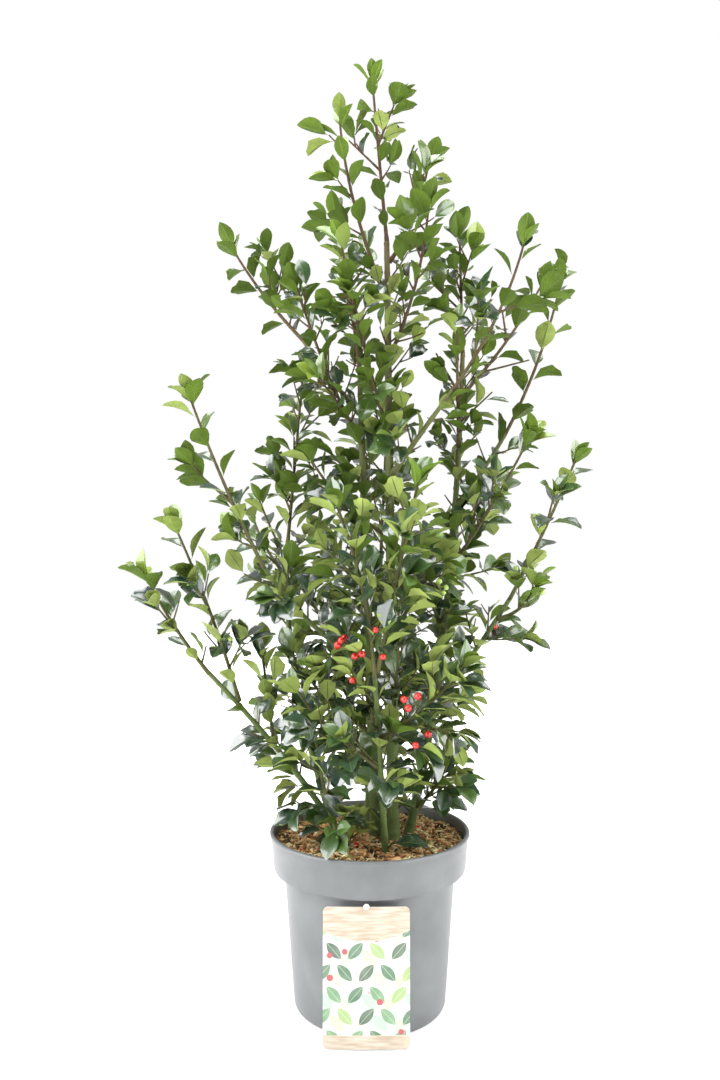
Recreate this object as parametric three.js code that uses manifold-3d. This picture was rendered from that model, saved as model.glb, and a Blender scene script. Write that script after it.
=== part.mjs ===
// Potted holly: a young bushy tree of several stems, with red berries, in a round nursery pot.
//
// Millimetres, +Z up. The origin is the centre of the pot's flat underside, and the front of
// the plant looks towards -Y. Headings are degrees in plan: 0 is +X, 90 is +Y, the back.
//
// The plant is limbs and masses of foliage. A limb is one tapering, bending tube, cut flat at
// its foot. A mass is one stem that carries on from a limb, with side twigs, leaves and fruit
// placed by a seeded rule and fused to it.

import * as THREE from 'three';
import Module from 'manifold-3d';
import { mergeVertices } from 'three/addons/utils/BufferGeometryUtils.js';

const wasm = await Module();
wasm.setup();

// ---------- driving dimensions ----------

const GAP = 0.3; // clearance between neighbouring pieces

const POT = {
  height: 253,
  rimRadius: 150.5,
  bandTopRadius: 148.5,
  bandFootRadius: 144.5,
  bandHeight: 54,
  shoulderRadius: 127.5, // wall just below the band
  baseRadius: 113,
  wall: 2.6,
  floor: 3,
  round: 5, // rounding of the band's lower edge
  drains: 6,
  drainRadius: 7,
  drainCircle: 84,
  sides: 28,
};

const MEDIUM = { top: 232, edgeDrop: 4, edge: 18 };

const TAG = {
  width: 117,
  height: 188,
  thickness: 1,
  corner: 7,
  foot: 2.5, // height of its lower edge
  stand: 141.5, // distance in front of the pot's axis
  tongueRadius: 6,
};

const FLARE = { swell: 0.45, fade: 14 }; // widening of a stem at its foot
const TURN_LENGTH = 22; // stretch over which a tube turns from its foot's lie to its own course
const STEM_FACETS = { sides: 7, rings: 6 };
const BOUGH_FACETS = { sides: 5, rings: 4 };

// A mass's own stem and the side twigs on it. Shares are of the stem's length, and leans are
// degrees from its course.
const TWIG = {
  sides: 3,
  stemRings: 3,
  sideRings: 1,
  stemRadii: [3.1, 1.9],
  sideRadii: [1.4, 1.2],
  from: 0.06,
  to: 0.72,
  lengths: [62, 84],
  shortening: 0.62, // at the stem's tip
  lean: [44, 58],
  lift: 0.2,
};

const LEAF = {
  length: 66,
  width: 40,
  thickness: 1.8,
  widest: 0.54, // share of the length at which a leaf is widest
  arch: 0.07, // height of its middle above its root and tip
  spacing: 20,
  stemFrom: 0.04,
  sideFrom: 0.3,
  to: 0.86,
  lean: [46, 64],
  swing: 14,
  endCount: 3,
  endFrom: 0.98,
  endStep: 0.05,
  endLean: [26, 44],
  sizes: [0.84, 1.06],
  young: 0.72, // size of a leaf that has no room to be full-grown
  lift: 0.35,
};

const BERRY = { radius: 4.6, stalk: 4.7, from: 0.45, step: 0.12 };

// Rows of points over a leaf: share of its length, and half of its width there.
const LEAF_ROWS = [
  [0.25, 0.25],
  [0.42, 0.42],
  [0.6, 0.48],
  [0.8, 0.26],
  [1, 0],
];

const GOLDEN_ANGLE = 137.5; // turn from one twig to the next round its stem
const LEAF_TURN = 120; // turn from one leaf to the next, so that each stands on a facet
const ELBOW_ROOM = 1.5; // least distance between two leaves of a mass
const CLEAR = 1.4; // least distance from a leaf or twig to a limb
const BORDER = 3; // least difference between a point's distances from its own stem and another

// Stems rise from the growing medium. reach and rise run from foot to tip; bow is the share
// of each that the limb has made where it would bend if it were made of two straight halves.
const STEMS = [
  {
    name: 'stem_leader', foot: [35, -15], toward: 118, reach: 17, rise: 918,
    bow: [0.4, 0.5], radii: [9.5, 4.2],
  },
  {
    name: 'stem_centre', foot: [10, 8], toward: 184, reach: 25, rise: 720,
    bow: [0.6, 0.51], radii: [8.8, 3.9],
  },
  {
    name: 'stem_right', foot: [58, 18], toward: 11, reach: 92, rise: 753,
    bow: [0.8, 0.35], radii: [7, 3.6],
  },
  {
    name: 'stem_left', foot: [-50, 30], toward: 154, reach: 90, rise: 458,
    bow: [1.19, 0.56], radii: [5.6, 3.6],
  },
  {
    name: 'stem_low_left', foot: [-37, -10], toward: 191, reach: 206, rise: 263,
    bow: [0.36, 0.47], radii: [5, 3.2],
  },
  {
    name: 'stem_front', foot: [22, -60], toward: 259, reach: 89, rise: 270,
    bow: [0.4, 0.49], radii: [4.8, 3.2],
  },
  {
    name: 'stem_front_left', foot: [-36, -60], toward: 228, reach: 36, rise: 78,
    bow: [0.4, 0.4], radii: [3.8, 3],
  },
  {
    name: 'stem_back', foot: [-5, 58], toward: 77, reach: 120, rise: 440,
    bow: [0.74, 0.41], radii: [6, 3.4],
  },
];

// Boughs leave a stem at a share of its length.
const BOUGHS = [
  {
    name: 'bough_upper_left', on: 'stem_centre', at: 0.9, toward: 158, reach: 92, rise: 118,
    bow: [0.5, 0.45], radii: [3.6, 3],
  },
  {
    name: 'bough_left', on: 'stem_centre', at: 0.36, toward: 208, reach: 166, rise: 150,
    bow: [0.62, 0.4], radii: [3.9, 3],
  },
  {
    name: 'bough_upper_right', on: 'stem_leader', at: 0.6, toward: 329, reach: 100, rise: 116,
    bow: [0.4, 0.42], radii: [4.2, 3.1],
  },
  {
    name: 'bough_right_outer', on: 'stem_right', at: 0.73, toward: 18, reach: 80, rise: 112,
    bow: [0.55, 0.49], radii: [3.8, 3],
  },
  {
    name: 'bough_right_low', on: 'stem_right', at: 0.34, toward: 327, reach: 118, rise: 155,
    bow: [0.5, 0.42], radii: [4, 3.1],
  },
  {
    name: 'bough_back_left', on: 'stem_back', at: 0.5, toward: 170, reach: 84, rise: 120,
    bow: [0.6, 0.4], radii: [3.8, 3],
  },
  {
    name: 'bough_back_right', on: 'stem_back', at: 0.6, toward: 12, reach: 88, rise: 112,
    bow: [0.6, 0.4], radii: [3.8, 3],
  },
];

// Masses that have a heading of their own. at: 1 carries on from the limb's tip; twigs is how
// many side twigs the mass starts out with.
const MASSES = [
  {
    name: 'foliage_crown_top', on: 'stem_leader', at: 1, toward: 180, reach: 21, rise: 238,
    bow: [0.52, 0.5], twigs: 4,
  },
  {
    name: 'foliage_crown_left', on: 'stem_leader', at: 0.9, toward: 209, reach: 74, rise: 230,
    bow: [0.8, 0.5], twigs: 1,
  },
  {
    name: 'foliage_crown_right', on: 'stem_leader', at: 0.96, toward: 6, reach: 56, rise: 140,
    bow: [0.66, 0.4], twigs: 2,
  },
  {
    name: 'foliage_centre_top', on: 'stem_centre', at: 1, toward: 140, reach: 46, rise: 240,
    bow: [0.4, 0.5], twigs: 2,
  },
  {
    name: 'foliage_right_top', on: 'stem_right', at: 1, toward: 180, reach: 4, rise: 172,
    bow: [0.5, 0.5], twigs: 3,
  },
  {
    name: 'foliage_left_top', on: 'stem_left', at: 1, toward: 10, reach: 24, rise: 276,
    bow: [0.5, 0.5], twigs: 3,
  },
  {
    name: 'foliage_low_left_tip', on: 'stem_low_left', at: 1, toward: 186, reach: 80, rise: 122,
    bow: [0.6, 0.5], twigs: 1,
  },
  {
    name: 'foliage_front_left_shoot', on: 'stem_front', at: 1, toward: 211, reach: 54, rise: 216,
    bow: [0.2, 0.55], twigs: 2,
  },
  {
    name: 'foliage_front_right_shoot', on: 'stem_front', at: 0.96, toward: 325, reach: 60, rise: 236,
    bow: [0.5, 0.5], twigs: 2,
  },
  {
    name: 'foliage_front_left_low', on: 'stem_front', at: 0.5, toward: 196, reach: 104, rise: 96,
    bow: [0.6, 0.42], twigs: 2, fruit: 2,
  },
  {
    name: 'foliage_front_right_low', on: 'stem_front', at: 0.66, toward: 336, reach: 108, rise: 92,
    bow: [0.6, 0.42], twigs: 2,
  },
  {
    name: 'foliage_front_foot', on: 'stem_front_left', at: 1, toward: 222, reach: 26, rise: 120,
    bow: [0.6, 0.45], twigs: 3,
  },
  {
    name: 'foliage_back_top', on: 'stem_back', at: 1, toward: 45, reach: 14, rise: 220,
    bow: [0.5, 0.5], twigs: 3,
  },
  {
    name: 'foliage_upper_left_tip', on: 'bough_upper_left', at: 1, toward: 165, reach: 116, rise: 150,
    bow: [0.59, 0.48], twigs: 1,
  },
  {
    name: 'foliage_left_tip', on: 'bough_left', at: 1, toward: 194, reach: 98, rise: 222,
    bow: [0.57, 0.49], twigs: 1,
  },
  {
    name: 'foliage_upper_right_tip', on: 'bough_upper_right', at: 1, toward: 339, reach: 98, rise: 186,
    bow: [0.72, 0.5], twigs: 2,
  },
  {
    name: 'foliage_right_outer_tip', on: 'bough_right_outer', at: 1, toward: 10, reach: 96, rise: 250,
    bow: [0.67, 0.47], twigs: 0,
  },
  {
    name: 'foliage_right_low_tip', on: 'bough_right_low', at: 1, toward: 343, reach: 88, rise: 185,
    bow: [0.55, 0.5], twigs: 2,
  },
  {
    name: 'foliage_back_left_tip', on: 'bough_back_left', at: 1, toward: 165, reach: 110, rise: 190,
    bow: [0.6, 0.45], twigs: 3,
  },
  {
    name: 'foliage_back_right_tip', on: 'bough_back_right', at: 1, toward: 12, reach: 112, rise: 180,
    bow: [0.6, 0.45], twigs: 3,
  },
  {
    name: 'foliage_low_left_upper', on: 'stem_low_left', at: 0.8, toward: 199, reach: 86, rise: 234,
    bow: [0.4, 0.5], twigs: 2,
  },
  {
    name: 'foliage_low_left_inner', on: 'stem_low_left', at: 0.58, toward: 120, reach: 40, rise: 110,
    bow: [0.5, 0.4], twigs: 2,
  },
  {
    name: 'foliage_right_high', on: 'stem_right', at: 0.93, toward: 352, reach: 112, rise: 152,
    bow: [0.55, 0.42], twigs: 2,
  },
  {
    name: 'foliage_right_middle', on: 'stem_right', at: 0.62, toward: 322, reach: 118, rise: 164,
    bow: [0.5, 0.42], twigs: 2,
  },
  {
    name: 'foliage_right_low_outer', on: 'bough_right_low', at: 0.8, toward: 304, reach: 62, rise: 36,
    bow: [0.7, 0.3], twigs: 0, fruit: 1,
  },
  {
    name: 'foliage_high_right', on: 'stem_leader', at: 0.8, toward: 312, reach: 76, rise: 186,
    bow: [0.8, 0.44], twigs: 2,
  },
  {
    name: 'foliage_high_left', on: 'stem_leader', at: 0.67, toward: 227, reach: 92, rise: 236,
    bow: [0.6, 0.49], twigs: 2,
  },
  {
    name: 'foliage_upper_left_inner', on: 'stem_centre', at: 0.84, toward: 196, reach: 88, rise: 200,
    bow: [0.5, 0.36], twigs: 2,
  },
  {
    name: 'foliage_right_inner', on: 'stem_right', at: 0.84, toward: 262, reach: 86, rise: 140,
    bow: [0.6, 0.4], twigs: 2,
  },
];

// Shoots spaced evenly along a stretch of a limb, each a golden angle round from the last.
const SHOOT_ROWS = [
  {
    name: 'foliage_leader', on: 'stem_leader', from: 0.2, to: 0.5, count: 3, toward: 272,
    reach: 104, rise: 100, bow: [0.62, 0.4], twigs: 2, fruit: 1,
  },
  {
    name: 'foliage_centre', on: 'stem_centre', from: 0.22, to: 0.68, count: 3, toward: 170,
    reach: 108, rise: 100, bow: [0.62, 0.4], twigs: 2,
  },
  {
    name: 'foliage_right', on: 'stem_right', from: 0.08, to: 0.5, count: 3, toward: 320,
    reach: 50, rise: 66, bow: [0.62, 0.4], twigs: 1,
  },
  {
    name: 'foliage_left', on: 'stem_left', from: 0.4, to: 0.86, count: 2, toward: 352,
    reach: 88, rise: 84, bow: [0.62, 0.4], twigs: 2, fruit: 1,
  },
  {
    name: 'foliage_back', on: 'stem_back', from: 0.3, to: 0.84, count: 2, toward: 15,
    reach: 104, rise: 96, bow: [0.62, 0.4], twigs: 3,
  },
];

const STRAIGHT = [0.5, 0.5];
const LINKS = 14; // straight links that stand for a run's curve where distances are measured

// ---------- materials ----------

const MATERIAL = {
  pot: new THREE.MeshStandardMaterial({ color: 0x8b8e92, roughness: 0.55, metalness: 0 }),
  medium: new THREE.MeshStandardMaterial({ color: 0x7a5230, roughness: 0.95, metalness: 0 }),
  tag: new THREE.MeshStandardMaterial({ color: 0xe9d9bd, roughness: 0.45, metalness: 0 }),
  bark: new THREE.MeshStandardMaterial({ color: 0x5f6a45, roughness: 0.8, metalness: 0 }),
  foliage: new THREE.MeshStandardMaterial({ color: 0x3f7a2c, roughness: 0.35, metalness: 0 }),
};

// ---------- small helpers ----------

const UP = new THREE.Vector3(0, 0, 1);
const GUIDE = new THREE.Vector3(0.28, 0.9, -0.33).normalize();
const mix = (a, b, share) => a + (b - a) * share;
const radians = (degrees) => (degrees * Math.PI) / 180;

function heading(degrees) {
  return new THREE.Vector3(Math.cos(radians(degrees)), Math.sin(radians(degrees)), 0);
}

// Repeatable dice: the same seed always gives the same rolls.
class Dice {
  constructor(seed) {
    this.state = seed;
    this.roll(0, 1);
    this.roll(0, 1);
  }

  roll(low, high) {
    this.state = (this.state * 48271) % 2147483647;
    return mix(low, high, this.state / 2147483647);
  }
}

function piece(name, geometry, material) {
  const mesh = new THREE.Mesh(geometry, material);
  mesh.name = name;
  return mesh;
}

function toSolid(geometry) {
  const bare = geometry.clone();
  bare.deleteAttribute('normal');
  bare.deleteAttribute('uv');
  const merged = mergeVertices(bare, 1e-4);
  return new wasm.Manifold(
    new wasm.Mesh({
      numProp: 3,
      vertProperties: new Float32Array(merged.attributes.position.array),
      triVerts: new Uint32Array(merged.index.array),
    }),
  );
}

function toGeometry(solid) {
  const mesh = solid.getMesh();
  const geometry = new THREE.BufferGeometry();
  geometry.setAttribute('position', new THREE.BufferAttribute(mesh.vertProperties, 3));
  geometry.setIndex(new THREE.BufferAttribute(mesh.triVerts, 1));
  geometry.computeVertexNormals();
  return geometry;
}

// ---------- pot, growing medium and care tag ----------

// Radius of the pot's inner wall at a height below the band.
function innerRadius(height) {
  const shoulder = POT.height - POT.bandHeight;
  return mix(POT.baseRadius, POT.shoulderRadius, height / shoulder) - POT.wall;
}

function turned(profile) {
  const points = profile.map(([radius, height]) => new THREE.Vector2(radius, height));
  const geometry = new THREE.LatheGeometry(points, POT.sides);
  geometry.rotateX(Math.PI / 2);
  return geometry;
}

function buildPot() {
  const { height, wall, floor, round } = POT;
  const shoulder = height - POT.bandHeight;
  const inset = wall * 0.7;
  const shell = toSolid(
    turned([
      [0, 0],
      [POT.baseRadius - 2, 0],
      [POT.baseRadius, 2],
      [POT.shoulderRadius, shoulder],
      [POT.bandFootRadius - round, shoulder],
      [POT.bandFootRadius - round * 0.3, shoulder + round * 0.3],
      [POT.bandFootRadius, shoulder + round],
      [POT.bandTopRadius, height - 6],
      [POT.rimRadius, height - 4],
      [POT.rimRadius, height - 1],
      [POT.rimRadius - 1, height],
      [POT.rimRadius - inset, height],
      [POT.bandTopRadius - wall, height - 6],
      [POT.bandFootRadius - wall, shoulder + wall],
      [POT.shoulderRadius - wall, shoulder + wall],
      [innerRadius(floor), floor],
      [0, floor],
    ]),
  );
  let pot = shell;
  for (let k = 0; k < POT.drains; k += 1) {
    const drill = new THREE.CylinderGeometry(POT.drainRadius, POT.drainRadius, floor * 4, 8);
    const place = heading((360 * (k + 0.5)) / POT.drains).multiplyScalar(POT.drainCircle);
    drill.rotateX(Math.PI / 2);
    drill.translate(place.x, place.y, 0);
    pot = pot.subtract(toSolid(drill));
  }
  return piece('pot', toGeometry(pot), MATERIAL.pot);
}

// The medium fills the pot to just below its rim and sits in the step behind the band.
function buildMedium() {
  const shoulder = POT.height - POT.bandHeight;
  const ledge = shoulder + POT.wall + GAP;
  const slope = (POT.bandTopRadius - POT.bandFootRadius) / (POT.bandHeight - 6);
  const edgeRadius = POT.bandFootRadius - POT.wall - GAP * 2;
  const geometry = turned([
    [0, POT.floor + GAP],
    [innerRadius(POT.floor) - GAP * 2, POT.floor + GAP],
    [POT.shoulderRadius - POT.wall - GAP * 2, ledge],
    [edgeRadius, ledge],
    [edgeRadius + slope * (MEDIUM.top - MEDIUM.edgeDrop - ledge), MEDIUM.top - MEDIUM.edgeDrop],
    [edgeRadius - MEDIUM.edge, MEDIUM.top],
    [0, MEDIUM.top],
  ]);
  return piece('growing_medium', geometry, MATERIAL.medium);
}

// A card with round corners and a round tongue that holds it up under the pot's band.
function buildTag() {
  const { width, height, corner, tongueRadius } = TAG;
  const half = width / 2;
  const card = new THREE.Shape();
  card.moveTo(-half + corner, 0);
  card.lineTo(half - corner, 0);
  card.absarc(half - corner, corner, corner, -Math.PI / 2, 0, false);
  card.absarc(half - corner, height - corner, corner, 0, Math.PI / 2, false);
  card.lineTo(tongueRadius, height);
  card.absarc(0, height, tongueRadius, 0, Math.PI, false);
  card.absarc(-half + corner, height - corner, corner, Math.PI / 2, Math.PI, false);
  card.absarc(-half + corner, corner, corner, Math.PI, Math.PI * 1.5, false);
  const geometry = new THREE.ExtrudeGeometry(card, {
    depth: TAG.thickness,
    bevelEnabled: false,
    curveSegments: 3,
  });
  geometry.rotateX(Math.PI / 2);
  const tag = piece('care_tag', geometry, MATERIAL.tag);
  tag.position.set(-6, -TAG.stand, TAG.foot);
  return tag;
}

// ---------- limbs ----------

// Where a limb or twig runs: its curve, its radii and the way that its foot is cut.
class Run {
  constructor(foot, spec, radii, firstLie) {
    const out = heading(spec.toward);
    const { bow } = spec;
    const bend = foot.clone().addScaledVector(out, spec.reach * bow[0]);
    bend.z += spec.rise * bow[1];
    const tip = foot.clone().addScaledVector(out, spec.reach);
    tip.z += spec.rise;
    this.curve = new THREE.QuadraticBezierCurve3(foot, bend, tip);
    this.radii = radii;
    this.firstLie = firstLie;
    this.length = this.curve.getLength();
    this.links = this.curve.getPoints(LINKS);
  }

  point(share) {
    return this.curve.getPoint(share);
  }

  tangent(share) {
    return this.curve.getTangent(share);
  }

  radius(share) {
    return mix(this.radii[0], this.radii[1], share);
  }

  // Distance from a point to this run's middle line, with the radius there.
  nearest(point) {
    let best = { distance: Infinity, radius: 0, share: 0 };
    for (let k = 0; k + 1 < this.links.length; k += 1) {
      const near = nearestOnLink(point, this.links[k], this.links[k + 1]);
      if (near.distance < best.distance) {
        const share = (k + near.share) / (this.links.length - 1);
        best = { distance: near.distance, radius: this.radius(share), share };
      }
    }
    return best;
  }
}

function nearestOnLink(point, start, end) {
  const dx = end.x - start.x;
  const dy = end.y - start.y;
  const dz = end.z - start.z;
  const px = point.x - start.x;
  const py = point.y - start.y;
  const pz = point.z - start.z;
  const along = (px * dx + py * dy + pz * dz) / (dx * dx + dy * dy + dz * dz);
  const share = Math.min(1, Math.max(0, along));
  const distance = Math.hypot(px - dx * share, py - dy * share, pz - dz * share);
  return { distance, share };
}

// The direction square to a limb or twig that stands a given angle round it.
function around(direction, degrees) {
  const side = new THREE.Vector3().crossVectors(GUIDE, direction).normalize();
  return side.applyAxisAngle(direction, radians(degrees));
}

// A tapering tube along a run: a cylinder's rings, carried along the curve. The first ring
// lies square to firstLie, and the next ones turn to stand square to the curve.
function tube(run, sides, rings, swell = 0) {
  const barrel = new THREE.CylinderGeometry(1, 1, 1, sides, rings);
  barrel.deleteAttribute('normal');
  barrel.deleteAttribute('uv');
  const geometry = mergeVertices(barrel);
  const spot = geometry.attributes.position;
  for (let k = 0; k < spot.count; k += 1) {
    const share = spot.getY(k) + 0.5;
    const along = run.length * share;
    const turn = Math.min(1, along / TURN_LENGTH);
    const lie = run.firstLie.clone().lerp(run.tangent(share), turn).normalize();
    const side = around(lie, 0);
    const other = around(lie, 90);
    const radius = run.radius(share) * (1 + swell * Math.exp(-along / FLARE.fade));
    const place = run.point(share);
    place.addScaledVector(side, spot.getZ(k) * radius);
    place.addScaledVector(other, spot.getX(k) * radius);
    spot.setXYZ(k, place.x, place.y, place.z);
  }
  return geometry;
}

// The foot of a run that leaves a host limb: clear of its side, or of its tip.
function footOn(host, at, spec, radius) {
  const tangent = host.tangent(at);
  if (at === 1) {
    const foot = host.point(1).addScaledVector(tangent, GAP);
    return { foot, lie: tangent };
  }
  const leave = heading(spec.toward).multiplyScalar(spec.reach * spec.bow[0]);
  leave.z += spec.rise * spec.bow[1];
  leave.normalize();
  const lean = Math.abs(leave.dot(tangent));
  const slant = Math.sqrt(1 - lean * lean);
  const clear = (host.radius(at) + GAP + radius * lean) / slant;
  return { foot: host.point(at).addScaledVector(leave, clear), lie: leave };
}

function layLimbs() {
  const limbs = new Map();
  for (const spec of STEMS) {
    const foot = new THREE.Vector3(spec.foot[0], spec.foot[1], MEDIUM.top + GAP);
    limbs.set(spec.name, new Run(foot, spec, spec.radii, UP));
  }
  for (const spec of BOUGHS) {
    const { foot, lie } = footOn(limbs.get(spec.on), spec.at, spec, spec.radii[0]);
    limbs.set(spec.name, new Run(foot, spec, spec.radii, lie));
  }
  return limbs;
}

// ---------- masses of foliage ----------

function listMasses() {
  const rows = SHOOT_ROWS.flatMap((row) =>
    Array.from({ length: row.count }, (_, k) => ({
      ...row,
      name: `${row.name}_${k + 1}`,
      at: mix(row.from, row.to, k / (row.count - 1)),
      toward: row.toward + GOLDEN_ANGLE * k,
    })),
  );
  return [...MASSES, ...rows];
}

function layMasses(limbs) {
  return listMasses().map((spec, index) => {
    const { foot, lie } = footOn(limbs.get(spec.on), spec.at, spec, TWIG.stemRadii[0]);
    const stem = new Run(foot, spec, TWIG.stemRadii, lie);
    return { ...spec, index, stem, dice: new Dice(1009 + 97 * index) };
  });
}

// True where a point keeps to its own mass's space: nearer to its own stem than to any other
// mass's, and clear of every limb.
function inOwnSpace(point, mass, masses, limbs) {
  const own = mass.stem.nearest(point).distance;
  for (const limb of limbs.values()) {
    const near = limb.nearest(point);
    if (near.distance < near.radius + CLEAR) {
      return false;
    }
  }
  return masses.every((other) => {
    return other === mass || other.stem.nearest(point).distance > own + BORDER;
  });
}

// Side twigs leave the stem at a golden angle from each other and turn upwards.
function growTwigs(mass, masses, limbs) {
  const { stem, dice, twigs: count } = mass;
  const first = dice.roll(0, 360);
  const twigs = [stem];
  for (let k = 0; k < count; k += 1) {
    const share = mix(TWIG.from, TWIG.to, (k + 0.5) / count);
    const length = dice.roll(...TWIG.lengths) * mix(1, TWIG.shortening, share);
    const lean = radians(dice.roll(...TWIG.lean));
    const direction = stem.tangent(share).multiplyScalar(Math.cos(lean));
    const side = around(stem.tangent(share), first + GOLDEN_ANGLE * k);
    direction.addScaledVector(side, Math.sin(lean)).addScaledVector(UP, TWIG.lift).normalize();
    const flat = Math.hypot(direction.x, direction.y);
    const spec = {
      toward: (Math.atan2(direction.y, direction.x) * 180) / Math.PI,
      reach: length * flat,
      rise: length * direction.z,
      bow: STRAIGHT,
    };
    const twig = new Run(stem.point(share), spec, TWIG.sideRadii, direction);
    const clear = twig.links.slice(1).every((p) => inOwnSpace(p, mass, masses, limbs));
    if (clear) {
      twigs.push(twig);
    }
  }
  return twigs;
}

// Where leaves stand: spaced along each twig, and close together at its end.
function leafPlaces(twigs, dice) {
  const places = [];
  twigs.forEach((twig, index) => {
    const from = index === 0 ? LEAF.stemFrom : LEAF.sideFrom;
    const count = Math.floor((twig.length * (1 - from)) / LEAF.spacing);
    const first = LEAF_TURN * (Math.floor(dice.roll(0, TWIG.sides)) + 0.5);
    for (let k = 0; k < count; k += 1) {
      const share = mix(from, LEAF.to, (k + 0.5) / count);
      const turn = first + LEAF_TURN * k + dice.roll(-LEAF.swing, LEAF.swing);
      places.push({ twig, share, turn, lean: dice.roll(...LEAF.lean) });
    }
    for (let k = 0; k < LEAF.endCount; k += 1) {
      const share = LEAF.endFrom - LEAF.endStep * k;
      const turn = first + LEAF_TURN * (count + k);
      places.push({ twig, share, turn, lean: dice.roll(...LEAF.endLean) });
    }
  });
  return places;
}

// One leaf: eight faces round a root sunk in the twig, a tip, two edges and an arched middle.
function leafFrame(place, dice) {
  const { twig, share, turn, lean } = place;
  const direction = twig.tangent(share);
  const side = around(direction, turn);
  const along = direction.clone().multiplyScalar(Math.cos(radians(lean)));
  along.addScaledVector(side, Math.sin(radians(lean))).normalize();
  const face = direction.clone().addScaledVector(UP, LEAF.lift);
  face.addScaledVector(along, -face.dot(along)).normalize();
  const across = new THREE.Vector3().crossVectors(face, along);
  const size = dice.roll(...LEAF.sizes);
  const root = twig.point(share);
  return { root, along, across, face, length: LEAF.length * size, width: LEAF.width * size };
}

function resized(leaf, share) {
  return { ...leaf, length: leaf.length * share, width: leaf.width * share };
}

function leafPoint(leaf, alongShare, acrossShare, lift) {
  return leaf.root
    .clone()
    .addScaledVector(leaf.along, leaf.length * alongShare)
    .addScaledVector(leaf.across, leaf.width * acrossShare)
    .addScaledVector(leaf.face, lift);
}

// An octahedron's corners become the root, the tip, the two edges and the two skins; the edges
// stand half as high again as the middle.
function leafGeometry(leaf) {
  const geometry = new THREE.OctahedronGeometry(1);
  const spot = geometry.attributes.position;
  const arch = leaf.length * LEAF.arch;
  for (let k = 0; k < spot.count; k += 1) {
    const end = Math.round(spot.getX(k));
    const edge = Math.round(spot.getY(k));
    const skin = Math.round(spot.getZ(k));
    const alongShare = end === 0 ? LEAF.widest : (end + 1) / 2;
    const middle = end === 0 ? arch + (skin * LEAF.thickness) / 2 : 0;
    const lift = edge === 0 ? middle : arch * 1.5;
    const place = leafPoint(leaf, alongShare, edge / 2, lift);
    spot.setXYZ(k, place.x, place.y, place.z);
  }
  return geometry;
}

// Points spread over a leaf, to test its space with.
function leafSamples(leaf) {
  const samples = [];
  const arch = leaf.length * LEAF.arch;
  for (const [alongShare, half] of LEAF_ROWS) {
    for (const side of [-1, 0, 1]) {
      samples.push(leafPoint(leaf, alongShare, side * half, alongShare < 1 ? arch : 0));
    }
  }
  return samples;
}

// True where a point hovers over a leaf's blade, nearer to it than the elbow room.
function isOver(point, leaf) {
  const from = point.clone().sub(leaf.root);
  const alongShare = from.dot(leaf.along) / leaf.length;
  const outline = Math.min(alongShare / LEAF.widest, (1 - alongShare) / (1 - LEAF.widest));
  const acrossShare = Math.abs(from.dot(leaf.across)) / leaf.width;
  const away = Math.abs(from.dot(leaf.face));
  return acrossShare < outline / 2 && away < ELBOW_ROOM;
}

function cross(leaf, other) {
  return (
    leafSamples(leaf).some((point) => isOver(point, other)) ||
    leafSamples(other).some((point) => isOver(point, leaf))
  );
}

function berryGeometry(place) {
  const direction = place.twig.tangent(place.share);
  const side = around(direction, place.turn);
  const middle = place.twig.point(place.share).addScaledVector(side, BERRY.stalk);
  const berry = new THREE.IcosahedronGeometry(BERRY.radius, 0);
  berry.translate(middle.x, middle.y, middle.z);
  return berry;
}

// One mass as one closed body. A leaf that leaves the mass's space or crosses another is tried
// again at a young leaf's size and then left out, and so is a scrap that would hang loose.
function growMass(mass, masses, limbs) {
  const twigs = growTwigs(mass, masses, limbs);
  let solid = toSolid(tube(mass.stem, TWIG.sides, TWIG.stemRings));
  for (const twig of twigs.slice(1)) {
    solid = solid.add(toSolid(tube(twig, TWIG.sides, TWIG.sideRings)));
  }
  const leaves = [];
  for (const place of leafPlaces(twigs, mass.dice)) {
    const grown = leafFrame(place, mass.dice);
    const leaf = [1, LEAF.young].map((share) => resized(grown, share)).find((blade) => {
      const inside = leafSamples(blade).every((p) => inOwnSpace(p, mass, masses, limbs));
      return inside && !leaves.some((other) => cross(blade, other));
    });
    if (leaf) {
      leaves.push(leaf);
      solid = solid.add(toSolid(leafGeometry(leaf)));
    }
  }
  for (let k = 0; k < (mass.fruit ?? 0); k += 1) {
    const share = BERRY.from + BERRY.step * k;
    const place = { twig: mass.stem, share, turn: mass.dice.roll(0, 360) };
    solid = solid.add(toSolid(berryGeometry(place)));
  }
  const parts = solid.decompose();
  const volumes = parts.map((part) => part.volume());
  return parts[volumes.indexOf(Math.max(...volumes))];
}

// ---------- the plant ----------

const plant = new THREE.Group();
plant.add(buildPot(), buildMedium(), buildTag());

const limbs = layLimbs();
for (const { name } of STEMS) {
  const { sides, rings } = STEM_FACETS;
  plant.add(piece(name, tube(limbs.get(name), sides, rings, FLARE.swell), MATERIAL.bark));
}
for (const { name } of BOUGHS) {
  const { sides, rings } = BOUGH_FACETS;
  plant.add(piece(name, tube(limbs.get(name), sides, rings), MATERIAL.bark));
}

const masses = layMasses(limbs);
for (const mass of masses) {
  plant.add(piece(mass.name, toGeometry(growMass(mass, masses, limbs)), MATERIAL.foliage));
}

export default plant;
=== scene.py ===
"""Looks of a potted holly: bark, leafy shoots, berries, pot, compost, care tag and studio.

Shapes are worked out in metres, +Z up, from the sizes below. The front looks towards -Y.
Headings are degrees in plan: 0 is +X, 90 is +Y. A limb or shoot is a run: a quadratic curve
with a foot, a bend and a tip. Limbs and the first twigs of each mass follow the same seeded
rule as the part's solids, and finer shoots and real-sized leaves grow on from them.
"""

import functools
import math

import bpy
import numpy as np
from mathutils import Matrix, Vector
from mathutils.bvhtree import BVHTree


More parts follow.
